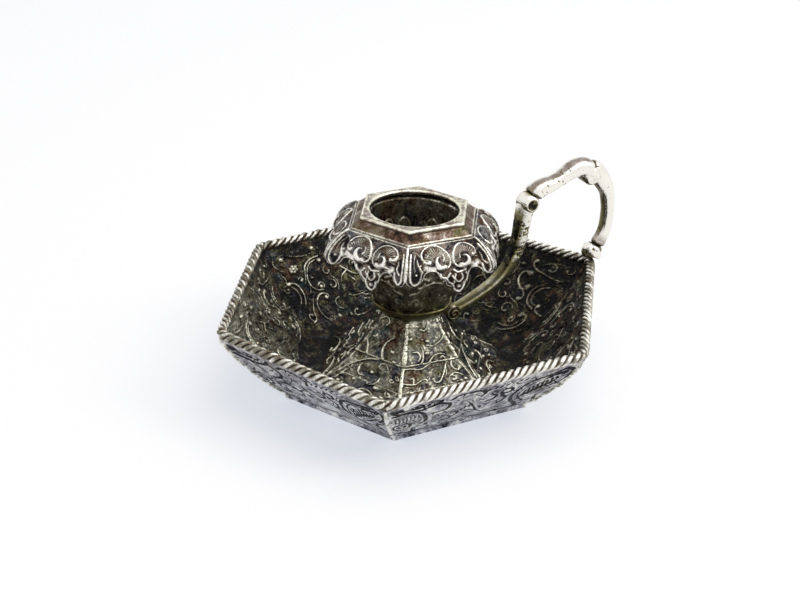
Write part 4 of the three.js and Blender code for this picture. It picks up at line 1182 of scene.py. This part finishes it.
def socket(relief, finish):
    """The candle socket: up the outside, over the lip, down the well, across the seat and back below it."""
    z = np.linspace(CUP_FLOOR_Z, SOCKET_TOP_Z, 116)
    outer = np.stack([socket_radius(z), z], 1)
    lip_z = SOCKET_TOP_Z + 0.05
    lip = np.array([[SOCKET_LIP_R - 0.3, lip_z], [SOCKET_MOUTH_R + 0.3, lip_z]])
    z = np.linspace(SOCKET_TOP_Z - 0.3, SEAT_Z, 70)
    well_foot = socket_radius(SEAT_Z) - SOCKET_WALL_T
    fall = (SOCKET_TOP_Z - z) / (SOCKET_TOP_Z - SEAT_Z)
    well = np.stack([SOCKET_MOUTH_R + (well_foot - SOCKET_MOUTH_R) * fall, z], 1)
    seat = np.stack([well_foot * np.linspace(0.9, 0.08, 8), np.full(8, SEAT_Z)], 1)
    under_z = SEAT_Z - SOCKET_WALL_T
    under = np.stack([np.linspace(0.5, socket_radius(under_z) - SOCKET_WALL_T, 5), np.full(5, under_z)], 1)
    z = np.linspace(SEAT_Z - 1.6, CUP_FLOOR_Z, 6)
    foot = np.stack([socket_radius(z) - SOCKET_WALL_T, z], 1)
    profile = np.vstack([outer, lip, well, seat, under, foot])
    ring = np.arange(len(profile)) - len(outer)
    on_outside = (ring < 0) * 1.0
    in_well = ((ring >= len(lip)) & (ring < len(lip) + len(well))) * 1.0
    angle, share = ring_angles(66)
    grid = ring_grid(angle, profile[:, 0], profile[:, 1], STEM_TURN, CUP_ROUND)
    ornament = socket_ornament()
    places = np.meshgrid(share * ornament.width, profile[:, 1] - CUP_FLOOR_Z, indexing="ij")
    raised, worn = ornament.at(*places)
    # Inside, the strokes are hollows, and the metal is smooth where the candle rubs at the mouth
    unrubbed = smooth(profile[:, 1], SOCKET_TOP_Z, SOCKET_TOP_Z - 2)
    raised *= 0.8 * on_outside - in_well * unrubbed
    worn *= on_outside + in_well * unrubbed
    rough = waves(grid, 2, 230) * 0.05
    grid = grid + face_normals(grid, wrap=True) * (raised * relief + rough)[..., None]
    # Lighter towards +X, the side of the key lamp: painted light
    ground = 0.52 - 0.14 * in_well + 0.012 * grid[..., 0] + waves(grid, 4, 231) * 0.16
    ground = ground + waves(grid, 1.5, 232) * 0.1
    piece = build_mesh("socket_bowl", grid, bareness(ground, worn))
    place(piece, "candlestick", finish, ["candle_socket"])


# Nozzle

def skirt_point(s):
    """Radius and height down the skirt at shares s of its depth: out by a sine, down by a power."""
    radius = CREASE_R + SKIRT_OUT * np.sin(np.clip(s, 0, 1) * math.pi / 2)
    return radius, CREASE_Z - SKIRT_DROP * np.power(s, SKIRT_CURL)


def skirt_edge(u):
    """Share of the skirt's depth that the sheet reaches at each place across a side."""
    at, edge = np.array(SKIRT_EDGE).T
    return (SKIRT_TOP_V - np.interp(u, at, edge)) / SKIRT_V


def nozzle_canopy(shells, skirt_finish, band_finish):
    """The lift-off cover: a flat flange, a plain sloping band and a scalloped skirt with its shells."""
    angle, share = ring_angles(116)
    ornament = nozzle_ornament()
    u = share[:, None] * ornament.width
    flange = np.linspace(0, 1, 3, endpoint=False)
    band = np.linspace(0, 1, 16, endpoint=False)
    lead = len(flange) + len(band)
    s = skirt_edge(u) * np.linspace(0, 1, 112)
    skirt_r, skirt_z = skirt_point(s)

    def rings(*parts):
        return np.concatenate([np.broadcast_to(part, (len(angle), np.shape(part)[-1])) for part in parts], 1)

    radii = rings(FLANGE_R + (RING_R - FLANGE_R) * flange, RING_R + (CREASE_R - RING_R) * band, skirt_r)
    heights = rings(RING_Z + 0 * flange, RING_Z + (CREASE_Z - RING_Z) * band, skirt_z)
    grid = ring_grid(angle, radii, heights, NOZZLE_TURN, rings(1 - flange, 0 * band, 0 * s))
    raised, worn = np.zeros(radii.shape), np.zeros(radii.shape)
    raised[:, lead:], worn[:, lead:] = ornament.at(u + 0 * s, SKIRT_TOP_V - SKIRT_V * s)
    raised[:, lead:] *= smooth(s, 0, 0.05)
    # The crease is a double line, one on each side of the fold
    for line_r, height in CREASE_LINES:
        line = np.exp(-(((radii - line_r) / CREASE_LINE_W) ** 2))
        raised, worn = np.maximum(raised, height * line), np.maximum(worn, 0.8 * line)
    rough = waves(grid, 0.8, 240) * 0.03 + waves(grid, 4, 241) * 0.05
    rough[:, : len(flange)] = 0
    outer = grid - face_normals(grid, wrap=True) * (raised * shells + rough)[..., None]

    thin = s[:, ::-1][:, ::15]
    inner_r, inner_z = skirt_point(thin)
    under_r = rings(inner_r - NOZZLE_SHEET_T, [CREASE_R - 0.7, RING_R - 0.5, FLANGE_R])
    under_z = rings(inner_z, [CREASE_Z - 0.7, RING_Z - 0.8, RING_Z - 0.8])
    inner = ring_grid(angle, under_r, under_z, NOZZLE_TURN, rings(0 * thin, [0, 0, 1]))
    bare = 0.13 + 0.1 * waves(grid, 2.5, 244)
    bare[:, lead:] += 0.08 * (1 - smooth(s, 0.05, 0.35))
    bare[:, :lead] = 0.32 + 0.16 * waves(grid[:, :lead], 3.5, 243)
    levels = bareness(bare + waves(grid, 3, 242) * 0.1, worn)
    levels = np.concatenate([levels, np.zeros(inner.shape[:2])], 1)
    whole = np.concatenate([outer, inner], 1)
    piece = build_mesh("nozzle_canopy_relief", whole, levels)
    place(piece, "nozzle", skirt_finish, ["nozzle_canopy"])
    second_finish(piece, band_finish, whole.shape[1], lead - 1)


def nozzle_ring(finish):
    """The nozzle's top: a flat six-sided band with rounded edges and a round hole."""
    top = RING_Z + RING_T
    # Radius, height and how bare the metal is, from the hole over the top to the outer edge
    loop = np.array([
        (HOLE_R, RING_Z, 0.1), (HOLE_R, top - 0.4, 0.7), (HOLE_R + 0.1, top - 0.15, 1),
        (HOLE_R + 0.3, top - 0.02, 0.95), (HOLE_R + 0.6, top, 0.78), (HOLE_R + 0.9, top - 0.03, 0.66),
        (RING_R - 1, top - 0.06, 0.64), (RING_R - 0.7, top - 0.05, 0.74), (RING_R - 0.35, top - 0.02, 0.95),
        (RING_R - 0.1, top - 0.15, 0.95), (RING_R, top - 0.35, 0.75), (RING_R, RING_Z, 0.3),
    ])
    roundness = smooth(-loop[:, 0], -HOLE_R - 1.3, -HOLE_R - 0.8)
    grid = ring_grid(ring_angles(60)[0], loop[:, 0], loop[:, 1], NOZZLE_TURN, roundness)
    piece = build_mesh("nozzle_ring_land", grid, np.clip(loop[:, 2] + 0.12 * waves(grid, 3, 250), 0, 1))
    place(piece, "nozzle", finish, ["nozzle_ring"])


# Handle

def cast_bar(name, start, end, start_way, end_way, shape, section, finish, seed, squareness, pitted, shade):
    """A cast bar in the handle's plane: rounded oblong sections along a smooth curve through shape's points.

    Each section is a superellipse whose power is "squareness". shade takes the share along the bar and the
    angle round it, 0 on the side to the left of its way and 90 on its -Y side, and gives how bare the metal
    is, with any painted highlight and shade. Between the first two shares in pitted, the casting has more
    pits, by the third number.
    """
    shape, section = np.array(shape), np.array(section)
    start, end = np.array(start), np.array(end)
    path = curve_through(start + (end - start) * shape, BAR_STEP)
    along = unit(np.gradient(path, axis=0))
    share = np.linspace(0, 1, len(path))
    for way, weight in ((start_way, 1 - smooth(share, 0, 0.1)), (end_way, smooth(share, 0.9, 1))):
        aim = np.array([math.cos(math.radians(way)), math.sin(math.radians(way))])
        along = along * (1 - weight[:, None]) + aim * weight[:, None]
    along = unit(along)
    at = np.linspace(0, 1, len(section))
    thick = np.interp(share, at, section[:, 0]) * BAR_T / 2
    wide = np.interp(share, at, section[:, 1]) * BAR_W / 2
    length = np.arange(len(path)) * BAR_STEP
    from_end = np.minimum(length, length[-1] - length)
    shut = np.clip(from_end / 1.2, 0, 1)
    shut = 0.66 + 0.34 * np.sqrt(shut * (2 - shut))
    grow = shut * (1 + 0.02 * waves(path, 5, seed))
    angle = np.linspace(0, 2 * math.pi, 56, endpoint=False)
    c, s = (np.sign(wave) * np.abs(wave) ** (2 / squareness) for wave in (np.cos(angle), np.sin(angle)))
    path = np.stack([path[:, 0], 0 * share, path[:, 1]], 1)
    across = np.stack([-along[:, 1], 0 * share, along[:, 0]], 1)
    towards = np.array([0, -1.0, 0])
    grid = sections(path, across, towards, (thick * grow)[:, None] * c, (wide * grow)[:, None] * s)
    pits_from, pits_to, more = pitted
    often = more * (smooth(share, pits_from, pits_from + 0.1) - smooth(share, pits_to - 0.1, pits_to))
    pits = smooth(waves(grid, 1.3, seed + 20) + often[:, None], 1.1, 1.5)
    grid = grid + (path[:, None] - grid) * PIT_DEPTH * pits[..., None]
    levels = shade(share[:, None], np.degrees(angle)[None]) + 0.08 * waves(grid, 3, seed + 30)
    levels = levels - 0.9 * np.exp(-((from_end / 0.5) ** 2))[:, None] - 0.75 * pits
    piece = build_mesh(name, grid, np.clip(levels, 0, 1), "fan")
    place(piece, "candlestick", finish, [name.replace("cast_", "handle_")])


def button(middle, turn, reach, y):
    """Points of a round button across the handle: rings round its middle at angles "turn"."""
    x, z = (middle[n] + reach[:, None] * wave for n, wave in enumerate((np.cos(turn), np.sin(turn))))
    return np.stack([x, np.broadcast_to(y, x.shape), z], -1)


def volute_eye(finish):
    """The round eye at the handle's lower end: a button with a spiral raised on both its faces."""
    turn = np.linspace(0, 2 * math.pi, 64, endpoint=False)
    share = np.concatenate([np.linspace(0.06, 1, 22), [1.03, 1.03], np.linspace(1, 0.06, 22)])
    side = np.repeat((-1.0, 1.0), len(share) // 2)[:, None]
    half = VOLUTE_W / 2 - 0.35 * share[:, None] ** 4
    raised = 0.16 * smooth(np.cos(turn * side - 2 * math.pi * 1.6 * share[:, None]), 0.1, 0.9)
    grid = button(VOLUTE, turn, share * VOLUTE_R, side * (half + raised))
    piece = build_mesh("cast_volute_eye", grid, 0.12 + raised * 3.4, "fan")
    place(piece, "candlestick", finish)


def knuckle_boss(name, middle, radius, half, eye, finish):
    """A round boss across the handle, twice "half" wide, with an eye sunk into both its flat faces."""
    turn = np.linspace(0, 2 * math.pi, 64, endpoint=False)
    share = np.concatenate([np.linspace(0.04, 1, 30), np.linspace(1, 0.04, 30)])
    side = np.repeat((-1.0, 1.0), 30)
    sunk = 1 - smooth(share * radius, eye - 0.25, eye + 0.15) if eye else 0 * share
    y = side * (half * (1 - 0.35 * share**5) - 0.15 * sunk)
    grid = button(middle, turn, share * radius, y[:, None])
    shadow = smooth(-np.sin(turn + 0.8), 0.45, 0.9) * smooth(share, 0.7, 1)[:, None]
    levels = 0.95 - 0.88 * sunk[:, None] - 0.6 * shadow + 0.1 * waves(grid, 2, 320)
    piece = build_mesh(name, grid, np.clip(levels, 0, 1), "fan")
    place(piece, "candlestick", finish)


# How bare the handle's pieces are, and their painted light and shade, at shares along them and angles round
# them

def arm_shade(share, angle):
    """A stained strap with a painted highlight along its lower edge and painted shade on its inner side, bare
    at the knuckle.
    """
    # A painted highlight along the lower edge, and painted shade on the inner side
    strap = 0.56 + 0.44 * smooth(angle, 110, 150) * (1 - smooth(angle, 250, 300))
    painted_side_shade = 0.74 * smooth(np.cos(np.radians(angle)), 0.4, 0.85) * (1 - smooth(share, 0.8, 0.92))
    return strap + (0.86 - strap) * smooth(share, 0.44, 0.66) - painted_side_shade * smooth(share, 0.35, 0.6)


def thumb_shade(share, angle):
    """Bright, with a brown-grey band along the upper edge."""
    return 0.98 - 0.4 * smooth(np.cos(np.radians(angle - 12)), 0.82, 1) + 0 * share


def tail_shade(share, angle):
    """Bright outside, with painted shade on the inner side below the knuckle, and darker towards its lower
    end.
    """
    # Painted shade on the inner side, turned away from the light
    inner = smooth(-np.cos(np.radians(angle)), 0.8, 0.98) * smooth(share, 0.04, 0.1)
    return 1 - 0.75 * inner * (1 - smooth(share, 0.8, 0.95)) - 0.3 * smooth(share, 0.84, 0.94)


def foot_shade(share, angle):
    """Bright all over."""
    return 0.95 + 0 * share


# Operators

class CANDLESTICK_OT_dish(bpy.types.Operator):
    """Build the dish: its floor, its six walls and the solder at its corners."""

    bl_idname = "candlestick.dish"
    bl_label = "Dish"

    def execute(self, context):
        settings = context.scene.candlestick_dish
        inside, outside = wall_inside_ornament(), wall_outside_ornament()
        stains = ("olive", "slate", "green", "dark", "brown", "dark")
        wall = tarnished("dish_silver", "bright", "dull", stains, 1)
        satin = tarnished("outside_silver", "pale", "lilac", ("navy", "dull"), 2,
                          roughness=0.34, grain=0.04, mottle=0.9)
        seam = tarnished("solder_silver", "pale", "dull", ("brown", "olive"), 3)
        dish_floor(wall)
        for k in range(SIDES):
            dish_wall(k, inside, outside, settings, wall, satin)
            corner_seam(k, seam)
        return {"FINISHED"}


class CANDLESTICK_OT_rim(bpy.types.Operator):
    """Build the twisted rope round the rim."""

    bl_idname = "candlestick.rim"
    bl_label = "Rim ropes"

    def execute(self, context):
        rope = tarnished("rope_silver", "pale", "dull", ("brown", "dull"), 4,
                         roughness=0.26, grain=0.02, mottle=0.9)
        for k in range(SIDES):
            rim_rope(k, context.scene.candlestick_dish, rope)
        return {"FINISHED"}


class CANDLESTICK_OT_stem(bpy.types.Operator):
    """Build the stem's foot and pillar, the saucer and the candle socket."""

    bl_idname = "candlestick.stem"
    bl_label = "Stem and socket"

    def execute(self, context):
        relief = context.scene.candlestick_stem.relief
        stem = tarnished("stem_silver", "bright", "dull", ("brown", "green", "olive", "slate"), 5)
        stem_foot(relief, stem)
        stem_pillar(relief, stem)
        saucer(tarnished("saucer_silver", "straw", "olive", ("olive", "brown"), 6, roughness=0.26))
        socket(relief, tarnished("socket_silver", "bright", "dull", ("brown", "navy", "olive"), 7))
        return {"FINISHED"}


class CANDLESTICK_OT_nozzle(bpy.types.Operator):
    """Build the lift-off nozzle: the scalloped canopy with its shells, and the ring round the candle hole."""

    bl_idname = "candlestick.nozzle"
    bl_label = "Nozzle"

    def execute(self, context):
        stains = ("rose", "slate", "navy", "brown")
        skirt = tarnished("skirt_silver", "pale", "dull", stains, 8, roughness=0.26)
        band = tarnished("band_silver", "bright", "rose", ("brown", "olive"), 8.5, grain=0.04)
        ring = tarnished("ring_silver", "bright", "rose", ("rose", "olive"), 9, roughness=0.28, grain=0.03)
        nozzle_canopy(context.scene.candlestick_stem.shells, skirt, band)
        nozzle_ring(ring)
        return {"FINISHED"}


class CANDLESTICK_OT_handle(bpy.types.Operator):
    """Build the handle: its four cast pieces, its two knuckles and the eye of its volute."""

    bl_idname = "candlestick.handle"
    bl_label = "Handle"

    def execute(self, context):
        cast = tarnished("cast_silver", "pale", "rose", ("straw", "olive"), 10,
                         roughness=0.2, grain=0.015, mottle=0.45)
        arm = tarnished("arm_silver", "pale", "straw", ("straw", "olive"), 12,
                        roughness=0.24, grain=0.02, mottle=0.6)
        # The tail is rounder than its solid bar: thicker, and narrower along Y
        tail_section = np.array(TAIL_SECTION) * (1.2, 0.8)
        cast_bar("cast_arm", VOLUTE, KNUCKLE, 0, KNUCKLE_WAY,
                 ARM_SHAPE, ARM_SECTION, arm, 300, 2.6, (0.5, 0.92, 0.8), arm_shade)
        cast_bar("cast_thumb_rest", KNUCKLE, SHOULDER, KNUCKLE_WAY, SHOULDER_WAY,
                 THUMB_SHAPE, THUMB_SECTION, cast, 301, 2.6, (0, 0.6, 0.35), thumb_shade)
        cast_bar("cast_tail", SHOULDER, HANDLE_FOOT_TOP, SHOULDER_WAY, ANKLE_WAY,
                 TAIL_SHAPE, tail_section, cast, 302, 2.2, (0.85, 1.1, 0.5), tail_shade)
        cast_bar("cast_foot", HANDLE_FOOT_TOP, HANDLE_FOOT_BOTTOM, ANKLE_WAY, -90,
                 FOOT_SHAPE, FOOT_SECTION, cast, 303, 2.1, (0, 1, 0.5), foot_shade)
        volute_eye(tarnished("volute_silver", "bright", "straw", ("brown", "olive"), 11))
        knuckle_boss("cast_arm_knuckle", *ARM_KNUCKLE, arm)
        knuckle_boss("cast_tail_knuckle", *TAIL_KNUCKLE, cast)
        return {"FINISHED"}


class CANDLESTICK_OT_stage(bpy.types.Operator):
    """Build the pale floor, the soft lamps, the world and the camera."""

    bl_idname = "candlestick.stage"
    bl_label = "Stage"

    def execute(self, context):
        scene = context.scene
        settings = scene.candlestick_stage
        camera = bpy.data.cameras.new("camera")
        camera.lens = settings.lens
        camera.sensor_width = 36
        camera.clip_start = 0.02
        viewer = bpy.data.objects.new("camera", camera)
        scene.collection.objects.link(viewer)
        # Turned about its own way of looking first, then tilted, then turned about the vertical
        turns = ((CAMERA_WAY - 90, "Z"), (90 - CAMERA_DOWN, "X"), (CAMERA_ROLL, "Z"))
        way, tilt, roll = (Matrix.Rotation(math.radians(angle), 4, axis) for angle, axis in turns)
        viewer.matrix_world = Matrix.Translation(Vector(CAMERA_AT) * MM) @ way @ tilt @ roll
        scene.camera = viewer

        mesh = bpy.data.meshes.new("floor")
        corners = [(x * PAPER_REACH, y * PAPER_REACH, 0) for x, y in ((-1, -1), (1, -1), (1, 1), (-1, 1))]
        mesh.from_pydata(corners, [], [(0, 1, 2, 3)])
        floor = bpy.data.objects.new("floor", mesh)
        scene.collection.objects.link(floor)
        paper = bpy.data.materials.new("floor_paper")
        paper.use_nodes = True
        mesh.materials.append(paper)

        def lamp(name, at, power, size):
            light = bpy.data.lights.new(name, "AREA")
            light.energy = power
            light.shape = "DISK"
            light.size = size
            made = bpy.data.objects.new(name, light)
            made.location = at
            made.rotation_euler = (Vector(at) - Vector(LAMPS_AIM)).to_track_quat("Z", "Y").to_euler()
            scene.collection.objects.link(made)

        lamp("top_lamp", (0.25, -0.15, 0.88), settings.top, 1.0)
        lamp("key_lamp", (0.6, -0.45, 0.6), settings.key, 0.35)

        world = bpy.data.worlds.new("world")
        scene.world = world
        world.use_nodes = True
        nodes, links = world.node_tree.nodes, world.node_tree.links
        back = nodes["Background"]
        strength = nodes.new("ShaderNodeMapRange")
        strength.inputs["To Min"].default_value = settings.world
        strength.inputs["To Max"].default_value = 1.0
        links.new(self.seen(world.node_tree), strength.inputs["Value"])
        links.new(strength.outputs[0], back.inputs["Strength"])
        back.inputs["Color"].default_value = (1, 1, 1, 1)

        # The paper is half lit by itself where it is seen, so that it is white and its shadow stays faint
        nodes, links = paper.node_tree.nodes, paper.node_tree.links
        lit = nodes["Principled BSDF"]
        lit.inputs["Base Color"].default_value = (0.96, 0.87, 0.72, 1)
        lit.inputs["Roughness"].default_value = 0.8
        glow = nodes.new("ShaderNodeEmission")
        glow.inputs["Color"].default_value = (0.77, 0.83, 0.94, 1)
        glow.inputs["Strength"].default_value = 1.4
        half = nodes.new("ShaderNodeMapRange")
        half.inputs["To Max"].default_value = 0.5
        links.new(self.seen(paper.node_tree), half.inputs["Value"])
        both = nodes.new("ShaderNodeMixShader")
        links.new(half.outputs[0], both.inputs[0])
        links.new(lit.outputs[0], both.inputs[1])
        links.new(glow.outputs[0], both.inputs[2])
        links.new(both.outputs[0], nodes["Material Output"].inputs["Surface"])
        scene.view_settings.view_transform = "Standard"
        return {"FINISHED"}

    @staticmethod
    def seen(tree):
        """1 for a ray from the camera, in a reflection or through glass, 0 for light that falls on things."""
        path = tree.nodes.new("ShaderNodeLightPath")
        total = path.outputs["Is Camera Ray"]
        for name in ("Is Glossy Ray", "Is Transmission Ray"):
            either = tree.nodes.new("ShaderNodeMath")
            either.operation = "MAXIMUM"
            tree.links.new(total, either.inputs[0])
            tree.links.new(path.outputs[name], either.inputs[1])
            total = either.outputs[0]
        return total


class CANDLESTICK_PT_sidebar(bpy.types.Panel):
    """Lists the candlestick's pieces and their settings."""

    bl_label = "Candlestick"
    bl_space_type = "VIEW_3D"
    bl_region_type = "UI"
    bl_category = "Candlestick"

    def draw(self, context):
        for operator in OPERATORS:
            self.layout.operator(operator.bl_idname)
        for name, group in SETTINGS.items():
            box = self.layout.box()
            for key in group.__annotations__:
                box.prop(getattr(context.scene, name), key)


OPERATORS = (CANDLESTICK_OT_dish, CANDLESTICK_OT_rim, CANDLESTICK_OT_stem, CANDLESTICK_OT_nozzle,
             CANDLESTICK_OT_handle, CANDLESTICK_OT_stage)
SETTINGS = {
    "candlestick_finishes": CandlestickFinishes,
    "candlestick_dish": CandlestickDish,
    "candlestick_stem": CandlestickStem,
    "candlestick_stage": CandlestickStage,
}


def register():
    for cls in (*SETTINGS.values(), *OPERATORS, CANDLESTICK_PT_sidebar):
        bpy.utils.register_class(cls)
    for name, group in SETTINGS.items():
        setattr(bpy.types.Scene, name, PointerProperty(type=group))


def unregister():
    for name in SETTINGS:
        delattr(bpy.types.Scene, name)
    for cls in (CANDLESTICK_PT_sidebar, *reversed(OPERATORS), *SETTINGS.values()):
        bpy.utils.unregister_class(cls)


def main():
    register()
    bpy.ops.candlestick.stage()
    bpy.ops.candlestick.dish()
    bpy.ops.candlestick.rim()
    bpy.ops.candlestick.stem()
    bpy.ops.candlestick.nozzle()
    bpy.ops.candlestick.handle()


if __name__ == "__main__":
    main()
